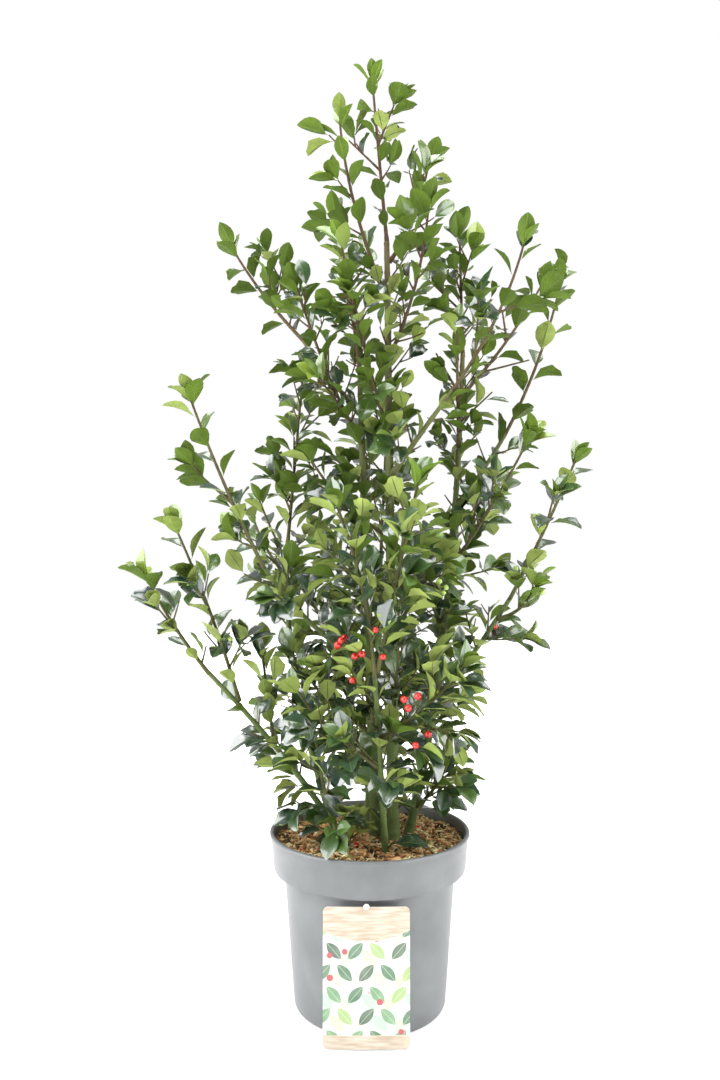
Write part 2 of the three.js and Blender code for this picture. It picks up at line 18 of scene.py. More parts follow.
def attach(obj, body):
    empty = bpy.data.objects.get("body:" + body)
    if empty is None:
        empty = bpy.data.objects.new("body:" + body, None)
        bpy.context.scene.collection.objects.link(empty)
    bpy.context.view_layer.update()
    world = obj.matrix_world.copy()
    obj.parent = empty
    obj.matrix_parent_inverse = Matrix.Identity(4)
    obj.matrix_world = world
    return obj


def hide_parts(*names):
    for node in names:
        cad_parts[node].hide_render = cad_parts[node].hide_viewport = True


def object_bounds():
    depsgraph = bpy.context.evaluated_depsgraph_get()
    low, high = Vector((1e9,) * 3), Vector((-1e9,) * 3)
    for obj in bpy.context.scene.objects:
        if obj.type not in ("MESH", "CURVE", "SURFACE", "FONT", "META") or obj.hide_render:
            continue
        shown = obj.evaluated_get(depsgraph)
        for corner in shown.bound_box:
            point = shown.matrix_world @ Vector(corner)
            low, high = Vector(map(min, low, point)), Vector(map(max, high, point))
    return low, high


bl_info = {
    "name": "Potted holly",
    "version": (1, 0, 0),
    "blender": (4, 5, 0),
    "location": "3D View > Sidebar > Holly",
    "description": "Dresses the packed holly with bark, leaves, berries, pot, compost and tag",
    "category": "Add Mesh",
}

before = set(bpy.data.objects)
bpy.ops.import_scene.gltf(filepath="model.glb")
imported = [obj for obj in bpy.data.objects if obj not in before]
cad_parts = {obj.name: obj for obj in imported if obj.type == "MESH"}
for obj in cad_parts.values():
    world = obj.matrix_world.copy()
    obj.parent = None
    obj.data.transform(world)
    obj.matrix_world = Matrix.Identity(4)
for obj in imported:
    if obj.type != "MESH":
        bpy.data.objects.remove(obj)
CAD_BOX = [list(corner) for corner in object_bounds()]

# ---------- sizes shared with the part's solids ----------

MM = 0.001
GAP = 0.3 * MM
UP = np.array([0.0, 0.0, 1.0])
GUIDE = np.array([0.28, 0.9, -0.33]) / np.linalg.norm([0.28, 0.9, -0.33])
GOLDEN_ANGLE = 137.5  # degrees
ANY_PHASE = (0, 6.28)  # radians
LINKS = 14

POT = {
    "height": 253 * MM,
    "rim_radius": 150.5 * MM,
    "band_top_radius": 148.5 * MM,
    "band_foot_radius": 144.5 * MM,
    "band_height": 54 * MM,
    "shoulder_radius": 127.5 * MM,
    "base_radius": 113 * MM,
    "wall": 2.6 * MM,
    "floor": 3 * MM,
    "drains": 6,
    "drain_radius": 7 * MM,
    "drain_circle": 84 * MM,
}
SOIL_TOP = 232 * MM
TAG = {
    "width": 117 * MM,
    "height": 188 * MM,
    "thickness": 1 * MM,
    "corner": 7 * MM,
    "foot": 2.5 * MM,
    "middle": -6 * MM,
    "stand": 141.5 * MM,
}
TWIG_RADII = (3.1 * MM, 1.9 * MM)
SIDE_RADII = (1.4 * MM, 1.2 * MM)
SIDE_SPAN = (0.06, 0.72)
SIDE_LENGTH = (62 * MM, 84 * MM)
SIDE_SHORTENING = 0.62
SIDE_LEAN = (44, 58)
SIDE_LIFT = 0.2
CLEAR = 1.4 * MM
BORDER = 3 * MM

# The dice's rule, and the seeds of what is rolled with them. Each mass has its own seed.
MULTIPLIER, MODULUS = 48271, 2147483647
MASS_SEED, MASS_SEED_STEP = 1009, 97
SEEDS = {
    "spurs": 5003, "leaves": 77003, "bark": 3301, "berries": 9001, "fallen": 8807,
    "chips": 6113, "fibres": 6521,
}

# Stems: name, foot in mm, heading, reach, rise, bow, radii in mm. reach and rise run from foot
# to tip in mm, and bow is the share of each at the bend.
STEMS = [
    ("stem_leader", (35, -15), 118, 17, 918, (0.4, 0.5), (9.5, 4.2)),
    ("stem_centre", (10, 8), 184, 25, 720, (0.6, 0.51), (8.8, 3.9)),
    ("stem_right", (58, 18), 11, 92, 753, (0.8, 0.35), (7, 3.6)),
    ("stem_left", (-50, 30), 154, 90, 458, (1.19, 0.56), (5.6, 3.6)),
    ("stem_low_left", (-37, -10), 191, 206, 263, (0.36, 0.47), (5, 3.2)),
    ("stem_front", (22, -60), 259, 89, 270, (0.4, 0.49), (4.8, 3.2)),
    ("stem_front_left", (-36, -60), 228, 36, 78, (0.4, 0.4), (3.8, 3)),
    ("stem_back", (-5, 58), 77, 120, 440, (0.74, 0.41), (6, 3.4)),
]

# Boughs: name, stem, share of the stem, heading, reach, rise, bow, radii.
BOUGHS = [
    ("bough_upper_left", "stem_centre", 0.9, 158, 92, 118, (0.5, 0.45), (3.6, 3)),
    ("bough_left", "stem_centre", 0.36, 208, 166, 150, (0.62, 0.4), (3.9, 3)),
    ("bough_upper_right", "stem_leader", 0.6, 329, 100, 116, (0.4, 0.42), (4.2, 3.1)),
    ("bough_right_outer", "stem_right", 0.73, 18, 80, 112, (0.55, 0.49), (3.8, 3)),
    ("bough_right_low", "stem_right", 0.34, 327, 118, 155, (0.5, 0.42), (4, 3.1)),
    ("bough_back_left", "stem_back", 0.5, 170, 84, 120, (0.6, 0.4), (3.8, 3)),
    ("bough_back_right", "stem_back", 0.6, 12, 88, 112, (0.6, 0.4), (3.8, 3)),
]

# Masses: name, limb, share of the limb, heading, reach, rise, bow, side twigs.
MASSES = [
    ("crown_top", "stem_leader", 1, 180, 21, 238, (0.52, 0.5), 4),
    ("crown_left", "stem_leader", 0.9, 209, 74, 230, (0.8, 0.5), 1),
    ("crown_right", "stem_leader", 0.96, 6, 56, 140, (0.66, 0.4), 2),
    ("centre_top", "stem_centre", 1, 140, 46, 240, (0.4, 0.5), 2),
    ("right_top", "stem_right", 1, 180, 4, 172, (0.5, 0.5), 3),
    ("left_top", "stem_left", 1, 10, 24, 276, (0.5, 0.5), 3),
    ("low_left_tip", "stem_low_left", 1, 186, 80, 122, (0.6, 0.5), 1),
    ("front_left_shoot", "stem_front", 1, 211, 54, 216, (0.2, 0.55), 2),
    ("front_right_shoot", "stem_front", 0.96, 325, 60, 236, (0.5, 0.5), 2),
    ("front_left_low", "stem_front", 0.5, 196, 104, 96, (0.6, 0.42), 2),
    ("front_right_low", "stem_front", 0.66, 336, 108, 92, (0.6, 0.42), 2),
    ("front_foot", "stem_front_left", 1, 222, 26, 120, (0.6, 0.45), 3),
    ("back_top", "stem_back", 1, 45, 14, 220, (0.5, 0.5), 3),
    ("upper_left_tip", "bough_upper_left", 1, 165, 116, 150, (0.59, 0.48), 1),
    ("left_tip", "bough_left", 1, 194, 98, 222, (0.57, 0.49), 1),
    ("upper_right_tip", "bough_upper_right", 1, 339, 98, 186, (0.72, 0.5), 2),
    ("right_outer_tip", "bough_right_outer", 1, 10, 96, 250, (0.67, 0.47), 0),
    ("right_low_tip", "bough_right_low", 1, 343, 88, 185, (0.55, 0.5), 2),
    ("back_left_tip", "bough_back_left", 1, 165, 110, 190, (0.6, 0.45), 3),
    ("back_right_tip", "bough_back_right", 1, 12, 112, 180, (0.6, 0.45), 3),
    ("low_left_upper", "stem_low_left", 0.8, 199, 86, 234, (0.4, 0.5), 2),
    ("low_left_inner", "stem_low_left", 0.58, 120, 40, 110, (0.5, 0.4), 2),
    ("right_high", "stem_right", 0.93, 352, 112, 152, (0.55, 0.42), 2),
    ("right_middle", "stem_right", 0.62, 322, 118, 164, (0.5, 0.42), 2),
    ("right_low_outer", "bough_right_low", 0.8, 304, 62, 36, (0.7, 0.3), 0),
    ("high_right", "stem_leader", 0.8, 312, 76, 186, (0.8, 0.44), 2),
    ("high_left", "stem_leader", 0.67, 227, 92, 236, (0.6, 0.49), 2),
    ("upper_left_inner", "stem_centre", 0.84, 196, 88, 200, (0.5, 0.36), 2),
    ("right_inner", "stem_right", 0.84, 262, 86, 140, (0.6, 0.4), 2),
]

# Rows of shoots: name, limb, first and last share, count, heading, reach, rise, bow, side twigs.
SHOOT_ROWS = [
    ("leader", "stem_leader", 0.2, 0.5, 3, 272, 104, 100, (0.62, 0.4), 2),
    ("centre", "stem_centre", 0.22, 0.68, 3, 170, 108, 100, (0.62, 0.4), 2),
    ("right", "stem_right", 0.08, 0.5, 3, 320, 50, 66, (0.62, 0.4), 1),
    ("left", "stem_left", 0.4, 0.86, 2, 352, 88, 84, (0.62, 0.4), 2),
    ("back", "stem_back", 0.3, 0.84, 2, 15, 104, 96, (0.62, 0.4), 3),
]


# ---------- sizes and colours that a user may change ----------


def length(name, description, default):
    return bpy.props.FloatProperty(
        name=name, description=description, default=default, min=0.0, unit="LENGTH"
    )


def colour(name, description, default):
    return bpy.props.FloatVectorProperty(
        name=name, description=description, default=default,
        size=3, subtype="COLOR", min=0.0, max=1.0,
    )


class HollySizes(bpy.types.PropertyGroup):
    leaf_length: length("Leaf length", "Length of a full-grown leaf with its stalk", 48 * MM)
    leaf_width: length("Leaf width", "Width of a full-grown leaf at its widest", 26.5 * MM)
    leaf_spacing: length("Leaf spacing", "Way along a shoot from one leaf to the next", 12 * MM)
    spur_spacing: length("Spur spacing", "Way along a shoot from one spur to the next", 18 * MM)
    berry_radius: length("Berry radius", "Radius of a ripe berry", 5 * MM)
    chip_length: length("Chip length", "Length of a large bark chip in the compost", 17 * MM)
    fibre_length: length("Fibre length", "Length of a long wood fibre in the compost", 24 * MM)
    chips: bpy.props.IntProperty(
        name="Chips", description="Number of bark chips on the compost", default=2600, min=0
    )
    fibres: bpy.props.IntProperty(
        name="Fibres", description="Number of wood fibres on the compost", default=1500, min=0
    )


class HollyColours(bpy.types.PropertyGroup):
    leaf_bright: colour("Youngest leaves", "Leaves of this season's tips", (0.185, 0.265, 0.028))
    leaf_fresh: colour("Young leaves", "Leaves next to the tips", (0.086, 0.146, 0.018))
    leaf_green: colour("Grown leaves", "Leaves of the upper crown", (0.038, 0.08, 0.014))
    leaf_dark: colour("Old leaves", "Leaves of the lower crown", (0.014, 0.041, 0.016))
    leaf_deep: colour("Oldest leaves", "Leaves deep inside the plant", (0.009, 0.029, 0.014))
    under_young: colour("Pale undersides", "Undersides of young leaves", (0.072, 0.12, 0.014))
    # The dull undersides are partly the old leaves' own paler tint and partly painted light, lifted
    # as if light shone through the low leaves.
    under_old: colour("Dull undersides", "Undersides of old leaves", (0.25, 0.31, 0.08))
    berry: colour("Ripe berries", "Skin of a ripe berry", (0.56, 0.013, 0.012))
    bark_low: colour("Bark near the soil", "Olive bark of the stems' feet", (0.095, 0.135, 0.042))
    bark_high: colour("Bark higher up", "Grey-brown bark of the upper limbs", (0.13, 0.1, 0.05))
    plastic: colour("Pot", "Plastic of the pot", (0.13, 0.137, 0.141))


# ---------- meshes from arrays ----------


def mesh_object(name, points, quads, triangles, materials, slots=None, uv=None, sharp=None):
    """One smooth-shaded object at the origin. quads and triangles index points, slots gives each
    face's material, uv each corner's place, and sharp marks the points on hard edges."""
    quads = np.asarray(quads, dtype=np.int32).reshape(-1, 4)
    triangles = np.asarray(triangles, dtype=np.int32).reshape(-1, 3)
    mesh = bpy.data.meshes.new(name)
    mesh.vertices.add(len(points))
    mesh.vertices.foreach_set("co", np.asarray(points, dtype=np.float32).ravel())
    corners = np.concatenate([quads.ravel(), triangles.ravel()])
    mesh.loops.add(len(corners))
    mesh.loops.foreach_set("vertex_index", corners)
    starts = np.concatenate([
        np.arange(len(quads)) * 4,
        len(quads) * 4 + np.arange(len(triangles)) * 3,
    ]).astype(np.int32)
    mesh.polygons.add(len(starts))
    mesh.polygons.foreach_set("loop_start", starts)
    for material in materials:
        mesh.materials.append(material)
    if slots is not None:
        mesh.polygons.foreach_set("material_index", np.asarray(slots, dtype=np.int32))
    mesh.polygons.foreach_set("use_smooth", np.ones(len(starts), dtype=bool))
    if uv is not None:
        layer = mesh.uv_layers.new(name="UVMap")
        layer.uv.foreach_set("vector", np.asarray(uv, dtype=np.float32)[corners].ravel())
    mesh.update(calc_edges=True)
    if sharp is not None:
        ends = np.empty(len(mesh.edges) * 2, dtype=np.int32)
        mesh.edges.foreach_get("vertices", ends)
        hard = np.asarray(sharp, dtype=bool)[ends.reshape(-1, 2)].all(axis=1)
        layer = mesh.attributes.new("sharp_edge", "BOOLEAN", "EDGE")
        layer.data.foreach_set("value", hard)
    thing = bpy.data.objects.new(name, mesh)
    bpy.context.scene.collection.objects.link(thing)
    return thing


def finish_piece(thing, slot, *nodes):
    """Lets a piece ride on the plant and stand for the named CAD nodes; slot is not used."""
    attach(thing, "root")
    if nodes:
        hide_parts(*nodes)
    return thing


def grid_quads(rows, columns, closed):
    """Corner numbers of the quads between the rows of a grid, row by row; a closed grid joins its
    last column to its first."""
    row = np.arange(rows - 1)[:, None] * columns
    column = np.arange(columns if closed else columns - 1)[None, :]
    after = (column + 1) % columns
    here, there = row + column, row + after
    return np.stack([here, there, there + columns, here + columns], axis=-1)


def repeated(faces, count, each):
    """The faces of one body of so many points, for a row of such bodies."""
    faces = np.asarray(faces)
    shift = each * np.arange(count)[:, None, None]
    return (faces[None] + shift).reshape(-1, faces.shape[1])


def capped(rings, ends):
    """Joins rings of points (ring x side x 3) by quads, and closes them with triangles to a point
    at each end. They face outwards when the sides turn anticlockwise seen from the last end."""
    rows, sides = rings.shape[:2]
    count = rows * sides
    here = np.arange(sides)
    after = (here + 1) % sides
    last = count - sides
    caps = np.concatenate([
        np.stack([np.full(sides, count), after, here], axis=-1),
        np.stack([np.full(sides, count + 1), last + here, last + after], axis=-1),
    ])
    quads = grid_quads(rows, sides, True).reshape(-1, 4)
    return np.concatenate([rings.reshape(-1, 3), ends]), quads, caps


def turned_surface(profile, sides):
    """A profile of (radius, height) pairs carried round the Z axis: a side's x and y are the radius
    times the cosine and sine of its angle. The profile starts and ends on the axis, where the ring
    is one point, and climbs the outside first. Returns points, quads and triangles."""
    profile = np.asarray(profile, dtype=float)
    turn = np.arange(sides) * 2 * math.pi / sides
    inner = profile[1:-1]
    rings = np.empty((len(inner), sides, 3))
    rings[..., :2] = inner[:, None, :1] * np.stack([np.cos(turn), np.sin(turn)], axis=-1)[None]
    rings[..., 2] = inner[:, None, 1]
    return capped(rings, np.array([[0, 0, profile[0, 1]], [0, 0, profile[-1, 1]]]))


# ---------- the seeded rule ----------


class Dice:
    """Repeatable dice: each roll multiplies the last state by MULTIPLIER, modulo MODULUS."""

    def __init__(self, seed):
        self.state = seed
        self.roll(0, 1)
        self.roll(0, 1)

    def roll(self, low, high):
        self.state = (self.state * MULTIPLIER) % MODULUS
        return low + (high - low) * self.state / MODULUS

    def rolls(self, low, high, count):
        return np.array([self.roll(low, high) for _ in range(count)])


def mix(a, b, share):
    return a + (b - a) * share


def smoothstep(low, high, value):
    t = np.clip((value - low) / (high - low), 0, 1)
    return t * t * (3 - 2 * t)


def heading(degrees):
    turn = math.radians(degrees)
    return np.array([math.cos(turn), math.sin(turn), 0.0])


def unit(vectors):
    return vectors / np.linalg.norm(vectors, axis=-1, keepdims=True)


def around(directions, degrees):
    """Directions square to the given ones: the cross product with a fixed guide, turned by an
    angle round the given direction."""
    side = unit(np.cross(GUIDE, directions))
    turn = np.radians(degrees)[..., None]
    return side * np.cos(turn) + np.cross(directions, side) * np.sin(turn)


class Run:
    """Where a limb or twig runs: foot, bend and tip of a quadratic curve, and its two radii."""

    def __init__(self, foot, bend, tip, radii):
        self.foot = foot
        self.bend = bend
        self.tip = tip
        self.radii = radii
        self.links = self.points(np.linspace(0, 1, LINKS + 1))
        steps = np.diff(self.points(np.linspace(0, 1, 101)), axis=0)
        self.length = np.linalg.norm(steps, axis=1).sum()

    def points(self, shares):
        t = np.atleast_1d(shares)[:, None]
        return (1 - t) ** 2 * self.foot + 2 * t * (1 - t) * self.bend + t**2 * self.tip

    def tangents(self, shares):
        t = np.atleast_1d(shares)[:, None]
        return unit((1 - t) * (self.bend - self.foot) + t * (self.tip - self.bend))

    def radius(self, shares):
        return mix(self.radii[0], self.radii[1], np.asarray(shares))

    def longer(self, distance):
        """The same curve carried on past its tip."""
        grown = 1 + distance / self.length
        bend = self.foot + (self.bend - self.foot) * grown
        return Run(self.foot, bend, self.points(grown)[0], self.radii)


def run_from(foot, toward, reach, rise, bow, radii):
    """A run from its foot, with a heading, a reach in plan and a rise in metres. bow is the share
    of reach and rise at the bend."""
    out = heading(toward)
    bend = foot + out * reach * bow[0] + UP * rise * bow[1]
    return Run(foot, bend, foot + out * reach + UP * rise, radii)


def foot_on(host, at, toward, reach, rise, bow, radius):
    """The foot of a run that leaves a host: a gap past its tip, or clear of its side."""
    tangent = host.tangents(at)[0]
    if at == 1:
        return host.points(1)[0] + tangent * GAP
    leave = unit(heading(toward) * reach * bow[0] + UP * rise * bow[1])
    lean = abs(leave @ tangent)
    clear = (host.radius(at) + GAP + radius * lean) / math.sqrt(1 - lean * lean)
    return host.points(at)[0] + leave * clear


def lay_limbs():
    limbs = {}
    for name, foot, toward, reach, rise, bow, radii in STEMS:
        foot = np.array([foot[0] * MM, foot[1] * MM, SOIL_TOP + GAP])
        radii = (radii[0] * MM, radii[1] * MM)
        limbs[name] = run_from(foot, toward, reach * MM, rise * MM, bow, radii)
    for name, stem, at, toward, reach, rise, bow, radii in BOUGHS:
        course = (toward, reach * MM, rise * MM, bow)
        foot = foot_on(limbs[stem], at, *course, radii[0] * MM)
        limbs[name] = run_from(foot, *course, (radii[0] * MM, radii[1] * MM))
    return limbs


def list_masses():
    rows = []
    for name, limb, first, last, count, toward, reach, rise, bow, twigs in SHOOT_ROWS:
        for k in range(count):
            at = mix(first, last, k / (count - 1))
            turn = toward + GOLDEN_ANGLE * k
            rows.append((f"{name}_{k + 1}", limb, at, turn, reach, rise, bow, twigs))
    return MASSES + rows


class Mass:
    """One mass of foliage: its stem, and the limb that it grows on at a share of that limb."""

    def __init__(self, index, row, limbs):
        _, limb, self.at, toward, reach, rise, bow, self.twigs = row
        course = (toward, reach * MM, rise * MM, bow)
        self.index = index
        self.host = limbs[limb]
        foot = foot_on(self.host, self.at, *course, TWIG_RADII[0])
        self.stem = run_from(foot, *course, TWIG_RADII)
        self.dice = Dice(MASS_SEED + MASS_SEED_STEP * index)


class Space:
    """The room that each mass keeps to: nearer to its own stem than to any other mass's, and
    clear of every limb."""

    def __init__(self, masses, limbs):
        self.stems = np.stack([mass.stem.links for mass in masses])
        self.limbs = np.stack([limb.links for limb in limbs.values()])
        shares = np.linspace(0, 1, LINKS + 1)
        self.limb_radii = np.stack([limb.radius(shares) for limb in limbs.values()])

    @staticmethod
    def gaps(points, links):
        """Distance from each point to each link, and the share of the link at the nearest place."""
        start = links[:, :-1].reshape(-1, 3)
        step = links[:, 1:].reshape(-1, 3) - start
        offset = points[:, None] - start[None]
        share = np.clip((offset * step).sum(-1) / (step * step).sum(-1), 0, 1)
        gap = np.linalg.norm(offset - share[..., None] * step, axis=-1)
        return gap.reshape(len(points), len(links), -1), share.reshape(len(points), len(links), -1)

    def nearest(self, point):
        gap, _ = self.gaps(point[None], self.stems)
        return int(gap.min(axis=2)[0].argmin())

    def holds(self, points, index, border=BORDER):
        gap, _ = self.gaps(points, self.stems)
        nearest = gap.min(axis=2)
        own = nearest[:, index].copy()
        nearest[:, index] = np.inf
        gap, share = self.gaps(points, self.limbs)
        radius = self.limb_radii[:, :-1] + np.diff(self.limb_radii, axis=1) * share
        clear = (gap - radius).min(axis=(1, 2)) > CLEAR
        return clear & (nearest.min(axis=1) > own + border)


def grow_side_twigs(mass, space):
    """The source's side twigs: a golden angle apart, leaning out and lifted."""
    stem = mass.stem
    first = mass.dice.roll(0, 360)
    twigs = []
    for k in range(mass.twigs):
        share = mix(*SIDE_SPAN, (k + 0.5) / mass.twigs)
        size = mass.dice.roll(*SIDE_LENGTH) * mix(1, SIDE_SHORTENING, share)
        lean = math.radians(mass.dice.roll(*SIDE_LEAN))
        tangent = stem.tangents(share)[0]
        side = around(tangent, np.array(first + GOLDEN_ANGLE * k))
        direction = unit(tangent * math.cos(lean) + side * math.sin(lean) + UP * SIDE_LIFT)
        foot = stem.points(share)[0]
        tip = foot + direction * size
        twig = Run(foot, (foot + tip) / 2, tip, SIDE_RADII)
        if space.holds(twig.links[1:], mass.index).all():
            twigs.append(twig)
    return twigs


# ---------- finer shoots and leaves ----------

# Spurs and sprigs: the shares of a host that carry them, and their lengths and leans in degrees.
SPUR_SPAN = (0.06, 0.9)
SPUR_LENGTH = (24 * MM, 58 * MM)
SPUR_LEAN = (42, 64)
SPUR_LIFT = 0.22
SPUR_SAG = 0.06
SPUR_RADII = (1.4 * MM, 1.0 * MM)
SPUR_TRIES = (1, 0.72, 0.5)
SPUR_BORDER = 1 * MM
SPUR_ABOVE_SOIL = 20 * MM
LIMB_SPAN = (0.03, 0.97)
LIMB_SPUR_LENGTH = (34 * MM, 84 * MM)
LIMB_SPACING = 1.05
SPRIG_FROM = 34 * MM
SPRIG_SPAN = (0.3, 0.85)
SPRIG_SPACING = 18 * MM
SPRIG_LENGTH = (16 * MM, 30 * MM)

# How much longer a mass's stem and side twigs are here than in the solids.
STEM_GROWTH = 16 * MM
SIDE_GROWTH = 10 * MM

# Heights, and the share of spurs that grow at each inside and outside the crown's width. The last
# pair is that width, and CROWN_EDGE is where along it the one share fades to the other.
INNER_SPURS = ((0.24, 0.55, 0.72, 1.0, 1.2, 1.4), (1.0, 1.0, 0.76, 0.66, 0.44, 0.26))
OUTER_SPURS = ((0.6, 0.85), (0.18, 0.05))
CROWN_WIDTH = ((0.24, 0.33, 0.46, 0.62, 0.85), (0.085, 0.13, 0.2, 0.2, 0.15))
CROWN_EDGE = (0.65, 1.35)

# Room above the compost and the pot's rim, how far leaves may stand past the solids' box, and the
# thickest limb that carries leaves.
SOIL_CLEAR = 9 * MM
RIM_CLEAR = 3 * MM
RIM_INSIDE, RIM_OUTSIDE, POT_PASSED = 14 * MM, 8 * MM, 30 * MM
PROUD = 6 * MM
LEAFY_RADIUS = 6.6 * MM

# Ages of leaf, oldest first, and the youth at which one passes to the next.
AGES = ("deep", "dark", "green", "fresh", "bright")
AGE_EDGES = (0.22, 0.45, 0.68, 0.92)

# Leaves along a shoot end at ALONG_END, and the tuft round its tip starts at TUFT_FROM. Outside
# the crown they are OUTER_SPACING times farther apart. Leans are in degrees.
ALONG_END, TUFT_FROM = 0.93, 0.95
OUTER_SPACING = 2.1
TUFT_LEAN, ALONG_LEAN = (10, 38), (26, 50)
TUFT_SIZE = 0.96
OLD_WIDTH, YOUNG_WIDTH = 1.12, 0.96
TEETH = 0.1
TEETH_FADE = (0.1, 0.6)
OLD_SAG = 0.24

# How near to a shoot's tip a leaf counts as, from the shoot's foot on; how far leaves face the sky,
# and how much more when old; how far they roll; and how far out on the shoot they start.
TIPNESS_AT_FOOT, TIPNESS_GAIN = 0.25, 0.6
SKYWARD, OLD_SKYWARD = 0.2, 0.6
FACE_ROLL = 0.5
LEAF_FOOT_OUT = 0.6

# A leaf's youth: a share of its height in the crown, a share of its nearness to a tip, and chance.
YOUNG_FROM, YOUNG_TO = 0.3, 1.25
YOUTH_OF_HEIGHT, YOUTH_OF_TIP = 0.1, 0.62
SHOOT_CHANCE, LEAF_CHANCE = (-0.2, 0.36), (-0.2, 0.24)

# The share of leaves of the cool tone, a darker and bluer copy of each tint that paints shade low
# in the crown: FEWER less between these two heights, and chance.
COOL_SHARE, FEWER = 0.72, 0.5
COOL_FROM, COOL_TO = 0.4, 1.1
LEAF_TONE, SHOOT_TONE = (-0.35, 0.35), (-0.2, 0.2)

# What each leaf's numbers are rolled from, in the order of the rolls.
LEAF_ROLLS = {
    "size": (0.78, 1.12),
    "roll": (-1, 1),
    "bend": (0.12, 0.75),
    "fold": (0.2, 0.6),
    "phase": ANY_PHASE,
    "wave": (0.02, 0.12),
    "twist": (-0.4, 0.4),
    "slim": (0.88, 1.1),
    "blunt": (0.0, 0.7),
}

# Tries at a leaf: as dealt, then smaller, nearer to the shoot and turned round it. Each is a share
# of its size, a share of its lean, and degrees.
LEAF_TRIES = ((1.0, 1.0, 0.0), (0.9, 0.8, 48.0), (0.78, 0.55, -70.0))

# Rows across a leaf: share of its length, share of its width on a pointed and on a blunt leaf,
# and teeth pushed out or in.
LEAF_ROWS = np.array([
    (0.1, 0.06, 0.06, 0.0),
    (0.2, 0.42, 0.36, 0.0),
    (0.35, 0.85, 0.74, 0.5),
    (0.51, 1.0, 0.98, -0.6),
    (0.67, 0.92, 1.0, 0.8),
    (0.81, 0.64, 0.78, -0.7),
    (0.92, 0.3, 0.44, 0.6),
])
LEAF_TIP = np.array([(1.0, 0.0, 0.0, 0.0)])
LEAF_COLUMNS = np.array([-1, -0.5, -0.045, 0.045, 0.5, 1])
RIB_COLUMNS = np.array([-0.065, 0.065])
LEAF_RING = len(LEAF_COLUMNS) + len(RIB_COLUMNS)
LEAF_BODY = len(LEAF_ROWS) * LEAF_RING
LEAF_POINTS = LEAF_BODY + 2
LEAF_THICKNESS = 0.5 * MM
RIB_RISE = 0.12 * MM

# Radians of an edge's waves along and across a leaf, how far its teeth lean to its tip, where its
# fold starts and is full, its swell between rib and edge, and how far a twist draws it sideways.
WAVE_ALONG, WAVE_ACROSS = 9, 2.1
TOOTH_LEAN = 0.3
FOLD_FROM, FOLD_FULL = 0.04, 0.3
SWELL = 0.3
TWIST_DRAW = 0.25

# Rows of the plainer leaf that is tested, and its points that have to be in its mass's space.
COARSE_ROWS = (1, 2, 3, 4, 6)
HELD_POINTS = [1, 6, 8, 9, 11, 13, 16]
LEAF_NUMBERS = ("size", "width", "bend", "teeth", "blunt", "fold", "wave", "phase", "twist")
CAGE_RINGS = 5


def leaf_rows(leaves, rows, columns):
    """Places on leaves: along the leaf by each row's share, across by column and row width. A leaf
    bends back on a circular arc, folds up to both sides of its rib, swells between rib and edge,
    and waves at its edges with the sine of its share and of the way across. Returns leaf x row x
    column x 3."""
    share, pointed, blunt, tooth = (rows[:, k][None, :, None] for k in range(4))
    across = columns[None, None, :]
    edge = np.abs(across) ** 3
    each = {key: leaves[key][:, None, None] for key in LEAF_NUMBERS}
    size, bend = each["size"], each["bend"]
    tooth = tooth * each["teeth"]
    half = each["width"] / 2 * (mix(pointed, blunt, each["blunt"]) + tooth * edge)
    way = share + tooth * edge * TOOTH_LEAN
    turn = bend * way
    forward = size * np.sin(turn) / bend
    sink = size * (1 - np.cos(turn)) / bend
    wave = np.sin(WAVE_ALONG * share + each["phase"] + WAVE_ACROSS * across) * edge
    rise = each["fold"] * half * np.abs(across) * smoothstep(FOLD_FROM, FOLD_FULL, share)
    rise = rise + SWELL * half * np.abs(across) * (1 - np.abs(across)) + each["wave"] * half * wave
    twist = each["twist"] * share
    side = half * across * np.cos(twist) - TWIST_DRAW * rise * np.sin(twist)
    rise = rise + half * across * np.sin(twist)
    place = leaves["foot"][:, None, None]
    place = place + (forward + rise * np.sin(turn))[..., None] * leaves["along"][:, None, None]
    place = place + side[..., None] * leaves["across"][:, None, None]
    return place + (rise * np.cos(turn) - sink)[..., None] * leaves["face"][:, None, None]


def leaf_tips(leaves):
    return leaf_rows(leaves, LEAF_TIP, np.array([0.0]))[:, 0, 0]


def coarse_leaves(leaves):
    """Each leaf as a few flat faces, three points across: enough to tell which leaves cross.
    Returns leaf x point x 3 and the faces of one leaf."""
    rows = len(COARSE_ROWS)
    grid = leaf_rows(leaves, LEAF_ROWS[list(COARSE_ROWS)], np.array([-1, 0, 1]))
    root = leaves["foot"] + leaves["along"] * leaves["size"][:, None] * LEAF_ROWS[0, 0]
    points = [grid.reshape(-1, rows * 3, 3), root[:, None], leaf_tips(leaves)[:, None]]
    first, last, end = rows * 3, rows * 3 + 1, rows * 3 - 3
    faces = [(first, 1, 0), (first, 2, 1), (end, end + 1, last), (end + 1, end + 2, last)]
    for k in range(0, end, 3):
        faces += [(k, k + 1, k + 4, k + 3), (k + 1, k + 2, k + 5, k + 4)]
    return np.concatenate(points, axis=1), faces


def take(leaves, chosen):
    return {key: values[chosen] for key, values in leaves.items()}


def joined(parts):
    return {key: np.concatenate([part[key] for part in parts]) for key in parts[0]}


# How deep a mass's stem is sunk past its host's tip and at its side, and what it takes over of
# the host's width: there a share of it less a margin, and here a fixed width.
TIP_SINK, TIP_TAKEOVER, TIP_MARGIN = 6 * MM, 0.85, 2.4 * MM
SIDE_SINK, SIDE_TAKEOVER = 2 * MM, 0.9 * MM

